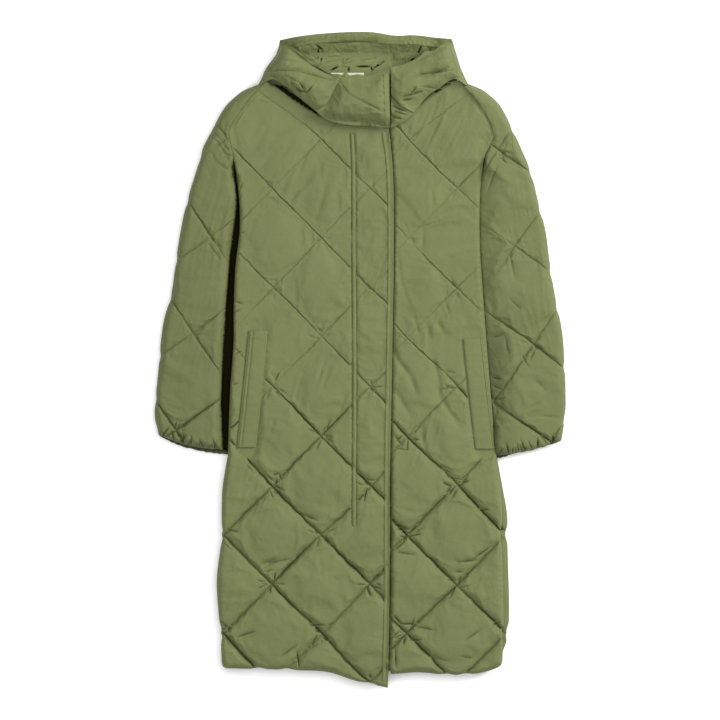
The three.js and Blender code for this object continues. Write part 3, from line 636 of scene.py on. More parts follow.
def knots(spots, seed):
    """Short sharp tucks that run out from each crossing, as rows of folds."""
    random = np.random.default_rng(seed)
    rows = []
    for x, y in spots:
        here = 0.4 + 0.85 * float(smoothstep((0.10 - y) / 0.30))
        for _ in range(random.integers(4, 9)):
            turn, off = random.uniform(0, 2 * np.pi), random.uniform(0.003, 0.013)
            lean, long = turn + random.normal(0, 0.6), random.uniform(0.007, 0.024)
            x0, y0 = x + off * np.cos(turn), y + off * np.sin(turn)
            x1, y1 = x0 + long * np.cos(lean), y0 + long * np.sin(lean)
            if x1 < x0:
                x0, y0, x1, y1 = x1, y1, x0, y0
            depth, width = here * random.uniform(0.0024, 0.0044), random.uniform(0.0022, 0.0042)
            rows.append((x0, y0, x1, y1, depth, width))
    return rows


def metres(*rows):
    """A table written in millimetres, in metres."""
    return [tuple(value / 1000 for value in row) for row in rows]


def to_fold(points, row):
    """The points near a fold: which they are, how far along it and how far to its left."""
    x0, y0, x1, y1, _, width = row
    start, way = np.array([x0, y0]), np.array([x1 - x0, y1 - y0])
    reach = np.abs(way).max() / 2 + 3 * width
    near = np.flatnonzero(np.abs(points[:, :2] - start - way / 2).max(1) < reach)
    t = np.clip(((points[near, :2] - start) @ way) / (way @ way), 0, 1)
    off = points[near, :2] - start - t[:, None] * way
    side = np.sign(way[0] * off[:, 1] - way[1] * off[:, 0])
    return near, t, np.hypot(*off.T) * np.where(side < 0, -1, 1)


def troughs(points, table):
    """Folds pressed in, given as rows of x0, y0, x1, y1, depth and width.

    A shallow or wide fold is soft. A sharp one slopes down from the left and rises steeply on the right.
    """
    out = np.zeros(len(points))
    for row in table:
        near, t, off = to_fold(points, row)
        depth, width = row[4:]
        if depth < SHARP or width > NARROW:
            shape = np.exp(-((off / width) ** 2))
        else:
            shape = np.exp(-np.abs(off) / np.where(off > 0, width, 0.4 * width))
        out[near] -= depth * np.sin(np.pi * (0.12 + 0.76 * t)) * shape
    return out


def fold_shade(points, table, strength=95.0, reach=0.0012):
    """Deep shade in the sharp folds of a table."""
    out = np.zeros(len(points))
    for row in table:
        if row[4] < SHARP or row[5] > NARROW:
            continue
        near, t, off = to_fold(points, row)
        depth = np.minimum(0.62, strength * row[4]) * np.sin(np.pi * (0.12 + 0.76 * t))
        out[near] = np.maximum(out[near], depth * np.exp(-((off / reach) ** 2)))
    return out


def pleats(ends, length, seed, depth, width, spread):
    """Folds that run in from points on an edge: rows of (x, y) ends and the way inwards."""
    random = np.random.default_rng(seed)
    rows = []
    for x, y, dx, dy in ends:
        turn = math.atan2(dy, dx) + random.normal(0, spread)
        long = length * random.uniform(0.6, 1.4)
        x1, y1 = x + long * math.cos(turn), y + long * math.sin(turn)
        rows.append((x, y, x1, y1, depth * random.uniform(0.75, 1.2), width * random.uniform(0.7, 1.3)))
    return rows


def scallop(piece, line, quilting, where, depth=0.0034, reach=0.010):
    """Draws a free edge in where the stitching meets it. where(points) is 1 on a free edge."""
    u, v = quilting.measure(line[:, 0], line[:, 1])
    off = np.minimum(np.abs(u - np.round(u)), np.abs(v - np.round(v))) * SIDE
    notch = depth * (np.exp(-((off / 0.008) ** 2)) - 0.25) * where(line)
    way = np.roll(line, -2, 0)[:, :2] - np.roll(line, 2, 0)[:, :2]
    way /= np.maximum(np.linalg.norm(way, axis=1), 1e-9)[:, None]
    inward = np.stack([-way[:, 1], way[:, 0]], 1)
    co = places(piece)
    for part in np.array_split(np.arange(len(co)), len(co) // 4000 + 1):
        far = np.hypot(co[part, 0][:, None] - line[:, 0], co[part, 1][:, None] - line[:, 1])
        nearest = far.argmin(1)
        fade = np.exp(-far.min(1) / reach)
        co[part, :2] += inward[nearest] * (notch[nearest] * fade)[:, None]
    put(piece, co)


def set_shade(piece, amount, tops, stitching=()):
    """Marks how far each of the points on top is in deep shade. amount(points) is 0 to 1."""
    mark = piece.data.attributes.get("shade") or piece.data.attributes.new("shade", "FLOAT", "POINT")
    value = amount(places(piece))
    value[tops:] = 0
    value[: len(stitching)] = np.maximum(value[: len(stitching)], stitching)
    mark.data.foreach_set("value", np.clip(value, 0, 1))


def crossings(quilting, line):
    spots = [quilting.place(i, j) for i in range(-12, 13) for j in range(-12, 13)]
    spots = np.array([(x, y, 0) for x, y in spots])
    return spots[inside(line, spots)][:, :2]


# %% Smooth a sheet and press its stitching in


def refine(sheet, held, depth=PRESS):
    """One subdivision, with the stitched points pressed down so that the groove stays sharp.

    Returns how much deep shade there is on each point.
    """
    mark = sheet.data.attributes.new("stitched", "FLOAT", "POINT")
    mark.data.foreach_set("value", held)
    only(sheet)
    finer = sheet.modifiers.new("finer", "SUBSURF")
    finer.levels = finer.render_levels = 1
    finer.boundary_smooth = "PRESERVE_CORNERS"
    bpy.ops.object.modifier_apply(modifier="finer")
    on = np.zeros(len(sheet.data.vertices))
    sheet.data.attributes["stitched"].data.foreach_get("value", on)
    co = places(sheet)
    co[:, 2] -= depth * on**2
    put(sheet, co)
    return STITCH_SHADE * on**3


# %% Find heights on what is already there


def tree_of(*pieces):
    """A search tree over the faces of pieces, for dropping points on them."""
    form = bmesh.new()
    for piece in pieces:
        form.from_mesh(piece.data)
    tree = BVHTree.FromBMesh(form)
    form.free()
    return tree


def drop(tree, points, miss=0.0, down=True):
    """The height of what lies under each point, or over it. miss is for points with nothing there."""
    heights = np.full(len(points), miss) if np.isscalar(miss) else miss.copy()
    start, way = (0.5, Vector((0, 0, -1))) if down else (-0.5, Vector((0, 0, 1)))
    for k, (x, y) in enumerate(points[:, :2]):
        hit = tree.ray_cast(Vector((x, y, start)), way)[0]
        if hit is not None:
            heights[k] = hit.z
    return heights


# %% Close a sheet into a padded piece with a plain underside
SMOOTH_BELOW = 50  # degrees between two faces that still shade as one surface


def rim_of(sheet):
    """The points round a sheet's open edge, in order."""
    form = bmesh.new()
    form.from_mesh(sheet.data)
    form.verts.ensure_lookup_table()
    follow = {}
    for edge in form.edges:
        if edge.is_boundary:
            loop = edge.link_loops[0]
            follow[loop.vert.index] = loop.link_loop_next.vert.index
    start = at = next(iter(follow))
    order = [start]
    while follow[at] != start:
        at = follow[at]
        order.append(at)
    form.free()
    return order


def close_below(sheet, under, spacing=0.02, rings=()):
    """Adds the underside. under(points, gap) is its height, gap being the distance from the edge."""
    order = rim_of(sheet)
    co = places(sheet)
    line = co[order]
    way = np.roll(line, -1, 0)[:, :2] - np.roll(line, 1, 0)[:, :2]
    way /= np.maximum(np.linalg.norm(way, axis=1), 1e-9)[:, None]
    inward = np.stack([-way[:, 1], way[:, 0]], 1)
    found = [np.hstack([line[::2, :2] + inward[::2] * r, line[::2, 2:]]) for r in rings]
    for k, r in enumerate(rings):
        found[k] = found[k][inside(line, found[k])]
        found[k] = found[k][to_line(line, found[k])[0] > 0.9 * r]
    low, high = line.min(0), line.max(0)
    grid = np.array([(x, y, 0) for x in np.arange(low[0], high[0], spacing)
                     for y in np.arange(low[1], high[1], spacing)])
    grid = grid[inside(line, grid)]
    found.append(grid[to_line(line, grid)[0] > max(rings, default=0.0) + 0.5 * spacing])
    inner = np.vstack(found)
    gap, _ = to_line(line, inner)
    inner[:, 2] = under(inner, gap)
    edge = line.copy()
    edge[:, 2] = np.minimum(under(line, np.zeros(len(line))), line[:, 2] - 0.0008)
    flat = [Vector(p[:2]) for p in edge] + [Vector(p[:2]) for p in inner]
    rim, base = len(edge), len(co)
    _, _, faces, came_from, _, _ = geometry.delaunay_2d_cdt(
        flat, [(i, (i + 1) % rim) for i in range(rim)], [], 1, 1e-7
    )
    polygons = [list(p.vertices) for p in sheet.data.polygons]
    polygons += [[base + came_from[i][0] for i in face] for face in faces]
    polygons += [[order[(i + 1) % rim], order[i], base + i, base + (i + 1) % rim] for i in range(rim)]
    mesh = bpy.data.meshes.new(sheet.name)
    mesh.from_pydata(np.vstack([co, edge, inner]).tolist(), [], polygons)
    outward(mesh)
    old, sheet.data = sheet.data, mesh
    bpy.data.meshes.remove(old)
    only(sheet)
    bpy.ops.object.shade_smooth_by_angle(angle=math.radians(SMOOTH_BELOW))


# %% [markdown]
# ## Strips, and what every piece needs at the end
#
# A band, welt or rim is a narrow strip. It is dropped on what lies under it, row by row, and its faces are
# closed all round. Rows of stitching run along it as fine grooves. Every piece then gets its material and
# its place under the root body, and the frame's pieces that it stands for are hidden.

# %% Lay a strip, and finish a piece


def strip(name, middle, half, tree, thickness, crown=0.0, across=8, sideways=True, ribs=None, sewn=(),
          miss=0.0):
    """A closed strip along a middle line, dropped on tree. half is its half width, along x if sideways.

    ribs are rises along it, sewn gives rows of stitching by how far across they run, from -1 to 1, and
    miss is the height where nothing lies under it.
    """
    way = np.gradient(middle[:, :2], axis=0)
    way /= np.linalg.norm(way, axis=1)[:, None]
    out = np.tile([1.0, 0.0], (len(middle), 1)) if sideways else np.stack([way[:, 1], -way[:, 0]], 1)
    half = np.broadcast_to(half, len(middle))
    s = list(np.sin(np.linspace(-0.5 * np.pi, 0.5 * np.pi, across + 1)))
    fine = 0.0011 / float(np.mean(half))
    for t in sewn:
        s = [old for old in s if abs(old - t) > 1.6 * fine] + [t - fine, t, t + fine]
    s, across = np.array(sorted(s)), len(s) - 1
    rows = [middle[:, :2] + out * (half * t)[:, None] for t in s]
    base = np.stack([drop(tree, row, miss) for row in rows])
    kernel = np.ones(5) / 5
    base = np.stack([np.convolve(np.pad(row, 2, mode="edge"), kernel, "valid") for row in base])
    rise = thickness * (0.45 + 0.55 * quarter_round((1 - np.abs(s)) / 0.25)) + crown * (1 - s**2)
    rise -= 0.0011 * np.isclose(s[:, None], np.array([*sewn, 9.0])[None, :]).any(1)
    top = base + rise[:, None]
    if ribs is not None:
        top = top + ribs[None, :] * np.sqrt(1 - s**2)[:, None]
    points = [(x, y, z) for row, high in zip(rows, top) for (x, y), z in zip(row, high)]
    points += [(x, y, z + 0.0002) for row, low in zip(rows, base) for (x, y), z in zip(row, low)]
    n, m = len(middle), across + 1
    at = lambda layer, i, j: layer * n * m + i * n + j
    faces = []
    for i in range(across):
        for j in range(n - 1):
            faces.append([at(0, i, j), at(0, i + 1, j), at(0, i + 1, j + 1), at(0, i, j + 1)])
            faces.append([at(1, i, j), at(1, i, j + 1), at(1, i + 1, j + 1), at(1, i + 1, j)])
    for j in range(n - 1):
        faces.append([at(0, 0, j), at(0, 0, j + 1), at(1, 0, j + 1), at(1, 0, j)])
        faces.append([at(0, across, j + 1), at(0, across, j), at(1, across, j), at(1, across, j + 1)])
    for i in range(across):
        faces.append([at(0, i + 1, 0), at(0, i, 0), at(1, i, 0), at(1, i + 1, 0)])
        faces.append([at(0, i, n - 1), at(0, i + 1, n - 1), at(1, i + 1, n - 1), at(1, i, n - 1)])
    piece = closed_piece(name, points, faces)
    bpy.ops.object.shade_smooth_by_angle(angle=math.radians(SMOOTH_BELOW))
    return piece


def finish_piece(piece, material, nodes=()):
    """Gives a piece its material, puts it under the root body and hides the CAD nodes that it stands for.
    """
    piece.data.materials.clear()
    piece.data.materials.append(material)
    mark = piece.data.attributes.get("shade")
    if mark:
        deep = np.zeros(len(piece.data.vertices))
        mark.data.foreach_get("value", deep)
        # faces deep in painted shade take the near-black DEEP material
        piece.data.materials.append(DEEP)
        for face in piece.data.polygons:
            face.material_index = int(deep[list(face.vertices)].mean() > 0.75)
    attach(piece, "root")
    if nodes:
        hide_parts(*nodes)
    print(piece.name, "faces:", len(piece.data.polygons))


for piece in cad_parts.values():
    piece.data.materials.clear()
    piece.data.materials.append(SHELL)

# %% [markdown]
# ## The back
#
# The back lies under everything else and only its puffy edge shows, beside the skirt. Its upper face stays
# just under the fronts, and its edge rounds under to the surface that the coat lies on.

# %% Back
BACK_TOP = 0.0176
QUILT_BACK = Quilting(0.0, 0.145, seed=8)


def curl(depth, reach):
    """An underside that rests flat and curls up by some depth towards the edge."""
    return lambda points, gap: depth * (1 - quarter_round((gap + 0.0004) / reach))


def back_height(line):
    def height(points, u, v):
        gap, _ = to_line(line, points)
        full = BACK_TOP - 0.0060 * (1 - loft(u, v))
        return 0.0085 + (full - 0.0085) * quarter_round(gap / 0.012)
    return height


back_line = seam_line("back", 0.004)
corner = smoothstep((-0.545 - back_line[:, 1]) / 0.06) * (np.abs(back_line[:, 0]) > 0.25)
back_line[:, 0] -= 0.011 * np.sign(back_line[:, 0]) * corner
back, held = cloth_sheet("back_padded", back_line, QUILT_BACK, back_height(back_line), rows=12)
blow_up(back, held, 1.0, 0.02, 0.0006)
refine(back, held)
close_below(back, curl(0.0080, 0.011), 0.04, (0.0015, 0.004, 0.007, 0.011))
scallop(back, back_line, QUILT_BACK, lambda points: 1.0 * (points[:, 1] < -0.2), 0.005)
finish_piece(back, SHELL, ["back"])

# %% [markdown]
# ## The two fronts
#
# Each front is one padded panel. Its pillows are shallow over the chest, where the coat lies taut, and
# fuller below the pockets. The wearer's right front laps over the left one, and its fly is held by two rows
# of stitching that go through all the layers, so those rows are seams in the sheet too. The padding is
# pressed flat where a pocket welt lies on it.

# %% The fronts' sizes
FRONT_FLOOR = 0.0183  # the padded back is under this
LAP_FLOOR = 0.0229  # the lap lies on the left front's flat edge
SIDE_RIM = 0.0295  # height of a front's edge beside a sleeve and in the skirt
ARMHOLE = 0.37  # where the side edges meet the sleeves' seams, along the coat
BODY_SIDE = 0.2  # the fronts' side edges are further out than this
STITCH = 0.0135  # thickness of a front along its stitching
PUFF = (0.0030, 0.0105)  # what the padding adds to that, on the chest and in the skirt
QUILT_RIGHT = Quilting(-0.077, 0.244, seed=1, pull=-0.030)
QUILT_LEFT = Quilting(0.096, 0.244, seed=2, pull=0.034)


def path(rows, spacing=STEP):
    """A smooth open row of points through (x, y) rows."""
    return smooth_run(np.array([(x, y, 0.0) for x, y in rows]), spacing)


def beside(line, shift):
    """A path moved sideways, to its right."""
    way = np.gradient(line[:, :2], axis=0)
    way /= np.linalg.norm(way, axis=1)[:, None]
    moved = line.copy()
    moved[:, 0] += way[:, 1] * shift
    moved[:, 1] -= way[:, 0] * shift
    return moved


WELT_HALF = 0.0195
WELT_RIGHT = path([(-0.2035, 0.0585), (-0.214, -0.050), (-0.2270, -0.1740)])
WELT_LEFT = path([(0.2250, 0.0420), (0.2360, -0.060), (0.2500, -0.1770)])
WELT_BED = 0.0325


# gaps that sink and are painted deep shade, under the turned-back hood and at the wearer's right underarm:
# x, y and half its width
HOOD_GAPS = (
    ((-0.189, 0.563, 0.0015), (-0.180, 0.559, 0.0025), (-0.164, 0.548, 0.0035), (-0.148, 0.538, 0.0045),
     (-0.134, 0.527, 0.0048), (-0.120, 0.518, 0.0045), (-0.106, 0.508, 0.0040), (-0.094, 0.499, 0.0025),
     (-0.076, 0.487, 0.0010)),
    ((0.189, 0.567, 0.0018), (0.199, 0.562, 0.0042), (0.211, 0.557, 0.0032)),
    ((0.140, 0.537, 0.0006), (0.152, 0.537, 0.0018), (0.162, 0.541, 0.0012)),
    ((-0.2525, 0.394, 0.0008), (-0.2510, 0.384, 0.0022), (-0.2490, 0.366, 0.0024), (-0.2465, 0.346, 0.0022),
     (-0.2450, 0.318, 0.0022)),
)


def under_hood(points):
    """1 in the gaps below the hood's edge and at the right underarm, which sink and get painted deep shade.
    """
    dark = np.zeros(len(points))
    for row in HOOD_GAPS:
        for (x, y, half), (x1, y1, half1) in zip(row, row[1:]):
            for t in np.linspace(0, 1, 9):
                reach = half + (half1 - half) * t
                gap = np.hypot(points[:, 0] - x - (x1 - x) * t, points[:, 1] - y - (y1 - y) * t)
                dark = np.maximum(dark, smoothstep((reach + 0.001 - gap) / 0.002))
    return dark


def shoulder_seam(line):
    """A seam line raised where it joins a sleeve to the body above the armhole."""
    raised = line.copy()
    out = np.abs(line[:, 0])
    on = smoothstep((line[:, 1] - ARMHOLE) / 0.02) * (out > 0.18) * (out < 0.275)
    high = 0.0055 + 0.0040 * smoothstep((line[:, 1] - 0.43) / 0.05)
    raised[:, 2] += high * on * (np.abs(line[:, 2] - 0.028) < 0.004)
    return raised


def shoulder_lift(points, gap, rim):
    """Fills the valley beside the shoulder seam, which hardly shows."""
    return 0.0035 * np.exp(-gap / 0.006) * (rim > 0.032) * smoothstep((points[:, 1] - 0.40) / 0.04)


def skirt(points):
    """0 on the chest and 1 in the skirt, below the pockets."""
    return smoothstep((0.02 - points[:, 1]) / 0.36)


def under_welt(points, welt):
    """1 where a welt lies on the padding."""
    return smoothstep((WELT_HALF + 0.008 - to_path(welt, points)) / 0.008)


def front_height(line, edges, welt):
    """Height of a front, with its edge rounded over edges(points), the width of the rounding."""
    def height(points, u, v):
        gap, rim = to_line(line, points)
        low = skirt(points)
        firm = (firmness(points, 0), firmness(points, 1))
        puff = PUFF[0] + (PUFF[1] - PUFF[0]) * low
        full = FRONT_FLOOR + STITCH + puff * loft(u, v, GROOVE + 0.0014 * low, firm)
        pressed = under_welt(points, welt)
        full = full + (WELT_BED - full) * pressed
        return rim + (full - rim) * quarter_round(gap / edges(points))
    return height


def rounded(line):
    """A seam line with its corners at the hem rounded."""
    corner = smoothstep((-0.590 - line[:, 1]) / 0.01) * (np.abs(line[:, 0] - 0.05) > 0.06)
    for _ in range(4):
        line = line + 0.5 * corner[:, None] * (0.5 * (np.roll(line, 1, 0) + np.roll(line, -1, 0)) - line)
    return line


def padded_front(name, node, quilting, folds, seams, edges, welt, seed):
    """A front, with rows of stitching along extra seams. One with seams laps over the other front."""
    line = rounded(shoulder_seam(seam_line(node, STEP)))
    outer = np.abs(line[:, 0]) > BODY_SIDE
    line[:, 2] += (SIDE_RIM - line[:, 2]) * smoothstep((ARMHOLE - line[:, 1]) / 0.03) * outer
    line[:, 2] += 0.006 * (line[:, 1] < -0.6) * (np.abs(line[:, 0]) < BODY_SIDE)
    folds = list(folds) + knots(crossings(quilting, line), seed)
    sheet, held = cloth_sheet(name, line, quilting, front_height(line, edges, welt), seams, folds=folds)
    pressed = under_welt(places(sheet), welt) > 0.9
    blow_up(sheet, np.maximum(held, pressed), 1.6, 0.024, 0.0045)
    stitching = refine(sheet, held * ~pressed)
    co = places(sheet)
    gap, rim = to_line(line, co)
    co[:, 2] += shoulder_lift(co, gap, rim)
    free = smoothstep(gap / 0.02) * (1 - under_welt(co, welt))
    co[:, 2] += free * (creases(co, seed) + gathers(co, quilting, seed))
    co[:, 2] += troughs(co, folds) * (1 - under_welt(co, welt))
    co[:, 2] -= 0.006 * under_hood(co)
    put(sheet, co)
    floor = lambda points, gap: np.where(points[:, 0] > 0.016, LAP_FLOOR, FRONT_FLOOR)
    close_below(sheet, floor if seams else lambda points, gap: np.full(len(points), FRONT_FLOOR), 0.03)
    free_edge = lambda points: 1.0 * (points[:, 1] < -0.2) * (np.abs(points[:, 0] - 0.055) > 0.02)
    scallop(sheet, line, quilting, free_edge)
    creased = lambda points: (1 - under_welt(points, welt)) * fold_shade(points, folds)
    set_shade(sheet, lambda points: np.maximum(under_hood(points), creased(points)), len(co), stitching)
    return sheet


# %% The wearer's right front
RIGHT_FOLDS = metres(
    (-130, 350, -108, 410, 2, 5), (-80, 396, -76, 346, 1.8, 4.5), (-70, 340, -90, 280, 2.2, 4.5),
    (-140, 320, -120, 340, 2, 3.5), (-62, 392, -78, 300, 1.6, 5), (-60, 130, -110, 60, 1.6, 6),
    (-72, -4, -86, -48, 2, 3.5), (-62, -14, -76, -64, 2, 3.2), (-120, -40, -132, -84, 1.8, 3.2),
    (-30, -70, -46, -124, 2.6, 3.4), (-170, -110, -180, -150, 1.8, 3.2), (-110, -100, -118, -140, 1.8, 3),
    (-174, -230, -162, -227, 5, 3), (-162, -227, -157, -240, 5, 2.8), (-112, -310, -86, -321, 4, 3),
    (-200, -414, -166, -398, 6, 6), (-182, -406, -134, -396, 4, 3.4), (-188, -424, -174, -418, 3.6, 2.6),
    (-206, -440, -190, -444, 3.6, 2.6), (-100, -530, -70, -530, 4.6, 3), (-246, -554, -210, -542, 4.6, 4),
    (20, -444, 48, -424, 3.6, 3), (10, -450, 22, -472, 4, 2.8), (-126, -584, -122, -614, 6, 2.6),
    (-160, -594, -126, -570, 3.6, 3.6), (-104, -580, -82, -566, 3.6, 3.4),
    (-228, -208, -212, -226, 3.6, 2.6), (10, -238, 30, -242, 3.6, 2.6), (-276, -362, -256, -380, 3.6, 3),
    (-280, -520, -262, -540, 3.6, 3), (-241, 338, -236, 354, 3.2, 2), (-242, 316, -237, 330, 3.2, 2),
    (-246, 250, -232, 256, 3, 2), (-252, 118, -236, 112, 3.2, 2.2), (-254, 94, -240, 100, 3, 2),
    (-252, 10, -240, 16, 3, 2.2), (-256, -50, -244, -46, 3, 2.2),
)
FLY = path([(-0.016, 0.452), (-0.013, 0.380), (-0.0125, 0.200), (-0.011, 0.0), (-0.012, -0.330)])
FLY_HALF = 0.0045
FRONT_EDGE = path([(0.0475, 0.455), (0.0565, 0.380), (0.0595, 0.240), (0.0565, 0.020), (0.0525, -0.220),
                   (0.0515, -0.480), (0.0475, -0.640)])
front_right = padded_front(
    "front_right_padded", "front_right", QUILT_RIGHT, RIGHT_FOLDS,
    [beside(FLY, FLY_HALF), beside(FLY, -FLY_HALF), beside(FRONT_EDGE, -0.0040)],
    lambda points: 0.005 + 0.004 * skirt(points) * (points[:, 0] < 0.0), WELT_RIGHT, 3,
)
finish_piece(front_right, SHELL, ["front_right"])

# %% The wearer's left front
LEFT_FOLDS = metres(
    (74, 220, 80, 160, 2.2, 4.5), (80, 160, 100, 106, 2.2, 4.5), (144, 336, 146, 306, 2.2, 4),
    (126, 266, 124, 220, 1.8, 4.5), (170, 116, 180, 86, 2.6, 3.2), (160, 110, 172, 82, 2.2, 3),
    (66, 26, 74, 0, 5, 6), (74, 0, 100, -32, 5, 6), (100, -32, 112, -66, 4.6, 6),
    (146, 4, 158, -40, 4.6, 6), (158, -40, 156, -76, 4.4, 6), (162, -76, 176, -100, 4.6, 6),
    (176, -100, 200, -134, 4.6, 6), (68, -60, 100, -110, 4.4, 7), (134, 70, 140, 40, 4, 6),
    (152, 80, 166, 56, 4, 6), (124, -140, 130, -180, 4, 6), (68, -150, 84, -172, 4, 4),
    (70, -176, 96, -180, 3.6, 3), (106, 96, 118, 50, 2.4, 3.6), (170, -22, 190, -26, 3, 2.8),
    (178, -40, 192, -34, 2.6, 2.6), (66, -328, 100, -340, 6, 4), (68, -512, 82, -528, 6, 3.6),
    (82, -528, 110, -528, 5.6, 3.2), (70, -378, 88, -364, 4.6, 3), (72, -384, 110, -390, 4, 3),
    (174, -232, 200, -240, 4, 2.8), (164, -218, 182, -226, 3.6, 2.6), (240, -300, 258, -300, 4, 2.8),
    (194, -404, 234, -400, 5, 4), (190, -424, 204, -424, 3.6, 2.6), (224, -400, 260, -374, 4.6, 4),
    (210, -560, 240, -540, 4.4, 5), (264, -530, 282, -524, 4, 2.8), (114, -534, 148, -540, 4, 3.4),
    (144, -592, 172, -602, 3.6, 3), (200, -594, 224, -596, 3.6, 2.8), (70, -580, 72, -618, 4.6, 2.6),
    (60, -560, 80, -540, 4, 3), (194, 38, 240, 44, 3, 3), (206, 52, 224, 60, 2.6, 2.6),
)
front_left = padded_front(
    "front_left_padded", "front_left", QUILT_LEFT, LEFT_FOLDS, [],
    lambda points: 0.005 + 0.004 * skirt(points), WELT_LEFT, 4,
)
shelf = beside(FRONT_EDGE, -0.018)
shelf = strip("front_left_shelf", shelf[shelf[:, 1] > -0.595], 0.0225, tree_of(back), 0.0040, miss=0.0176)
only(front_left)
shelf.select_set(True)
bpy.ops.object.join()
finish_piece(front_left, SHELL, ["front_left"])

# %% [markdown]
# ## The sleeves
#
# A raglan sleeve is a tube, here pressed flat, whose seam runs from the neck to under the arm. Its quilting
# is turned, because the sleeve was cut straight and now hangs at an angle. The tube's fold is its outer
# edge: the cloth rounds under there and meets the surface it lies on. On the wearer's right the inner fold
# lies a little way from the body, and what shows between them is in deep shade.

# %% Both sleeves
SLEEVE_STITCH, SLEEVE_PUFF = 0.0335, 0.0075  # height at the stitching, and what the padding adds
WRIST = -0.138  # the sleeves' ends lie below this, along the coat
QUILT_SLEEVE_RIGHT = Quilting(-0.334, 0.054, -10, seed=3)
QUILT_SLEEVE_LEFT = Quilting(0.346, 0.030, 10, seed=4)
INNER_FOLD = np.array(metres(
    (-276, -182), (-280, -90), (-276, 20), (-270, 110), (-262, 210), (-252, 280), (-246, 330), (-250, 376)
))


def past_fold(points):
    """How far a point of the right sleeve lies past its inner fold, towards the body."""
    fold = np.interp(points[:, 1], INNER_FOLD[:, 1], INNER_FOLD[:, 0])
    return np.where(points[:, 1] < 0.376, points[:, 0] - fold, -1.0)


def sleeve_height(line, low_side):
    def height(points, u, v):
        gap, rim = to_line(line, points)
        firm = (firmness(points, 0), firmness(points, 1))
        full = SLEEVE_STITCH + SLEEVE_PUFF * loft(u, v, GROOVE, firm)
        full = full - 0.006 * smoothstep((np.abs(points[:, 0]) - 0.25) / 0.15)
        if low_side:
            past = past_fold(points)
            sunk = 0.009 + (full - 0.009) * quarter_round((0.003 - past) / 0.02)
            full = np.where(past > -0.03, sunk, full)
        ramp = 0.004 + 0.050 * smoothstep((0.40 - points[:, 1]) / 0.05)
        beside_body = (rim > 0.0195) & (points[:, 1] > -0.125)
        slope = np.clip(gap / ramp, 0, 1)
        rise = np.where(beside_body & (points[:, 1] < 0.40), 1 - (1 - slope) ** 1.6, quarter_round(slope))
        return rim + (full - rim) * np.where(beside_body, rise, quarter_round(gap / 0.016))
    return height


def wrist_pleats(line, seed):
    """Small pleats that run up from the end of a sleeve, where the cuff gathers it."""
    end = line[line[:, 1] < WRIST]
    end = end[end[:, 0].argsort()]
    random = np.random.default_rng(seed + 50)
    at = np.arange(end[0, 0] + 0.006, end[-1, 0] - 0.004, 0.0068)
    at += random.uniform(-0.003, 0.003, len(at))
    at = at[random.uniform(0, 1, len(at)) > 0.25]
    ends = [(x, float(np.interp(x, end[:, 0], end[:, 1])) - 0.002, -0.17 * np.sign(x), 0.98) for x in at]
    return pleats(ends, 0.017, seed, 0.0056, 0.0032, 0.55)


def padded_sleeve(name, node, quilting, folds, low_side, longer, seed):
    """A sleeve, with its end drawn out by longer. low_side is the one that dips beside the body."""
    line = shoulder_seam(seam_line(node, STEP))
    line[:, 2] -= 0.008 * (line[:, 2] > 0.030) * (line[:, 1] < 0.40)
    end = smoothstep((-0.130 - line[:, 1]) / 0.006)
    line[:, 2] = np.maximum(line[:, 2], 0.0245 * end)
    ruffle = np.array([0.0034 * noise.noise(Vector((120 * x, 0, seed))) for x in line[:, 0]])
    line[:, :2] += (end * (longer + ruffle))[:, None] * np.array([0.17 if low_side else -0.17, -0.98])
    folds = list(folds) + knots(crossings(quilting, line), seed) + wrist_pleats(line, seed)
    sheet, held = cloth_sheet(name, line, quilting, sleeve_height(line, low_side), folds=folds)
    blow_up(sheet, held, 1.8, 0.03, 0.005)
    stitching = refine(sheet, held)
    co = places(sheet)
    gap, rim = to_line(line, co)
    co[:, 2] += shoulder_lift(co, gap, rim)
    free = smoothstep(gap / 0.02)
    if low_side:
        free *= smoothstep(-past_fold(co) / 0.01)
    way = (0.2, 1) if low_side else (-0.2, 1)
    co[:, 2] += free * (creases(co, seed, way) + gathers(co, quilting, seed))
    co[:, 2] += troughs(co, folds) - 0.006 * under_hood(co)
    co[:, 2] = np.maximum(co[:, 2], 0.004)
    put(sheet, co)
    close_below(sheet, curl(0.016, 0.013), 0.03, (0.0015, 0.004, 0.008, 0.013))
    free_edge = lambda points: 1.0 * (np.abs(points[:, 0]) > 0.30) * (points[:, 1] > -0.13)
    scallop(sheet, line, quilting, free_edge, 0.0026)

    def dark(points):
        """Painted shade: deep past the fold, under the hood and in folds; light all over, more by the body.
        """
        # painted shade for weaker light: a little everywhere, more low by the body on the left sleeve
        if low_side:
            past = smoothstep((past_fold(points) + 0.001) / 0.004) * (points[:, 2] > 0.002)
            beside_body = np.full(len(points), 0.10)
        else:
            past = np.zeros(len(points))
            near = smoothstep((0.33 - points[:, 0]) / 0.07) * smoothstep((0.11 - points[:, 1]) / 0.12)
            beside_body = 0.05 + 0.25 * near
        return np.maximum.reduce([past, under_hood(points), beside_body, fold_shade(points, folds)])

    set_shade(sheet, dark, len(co), stitching)
    return sheet


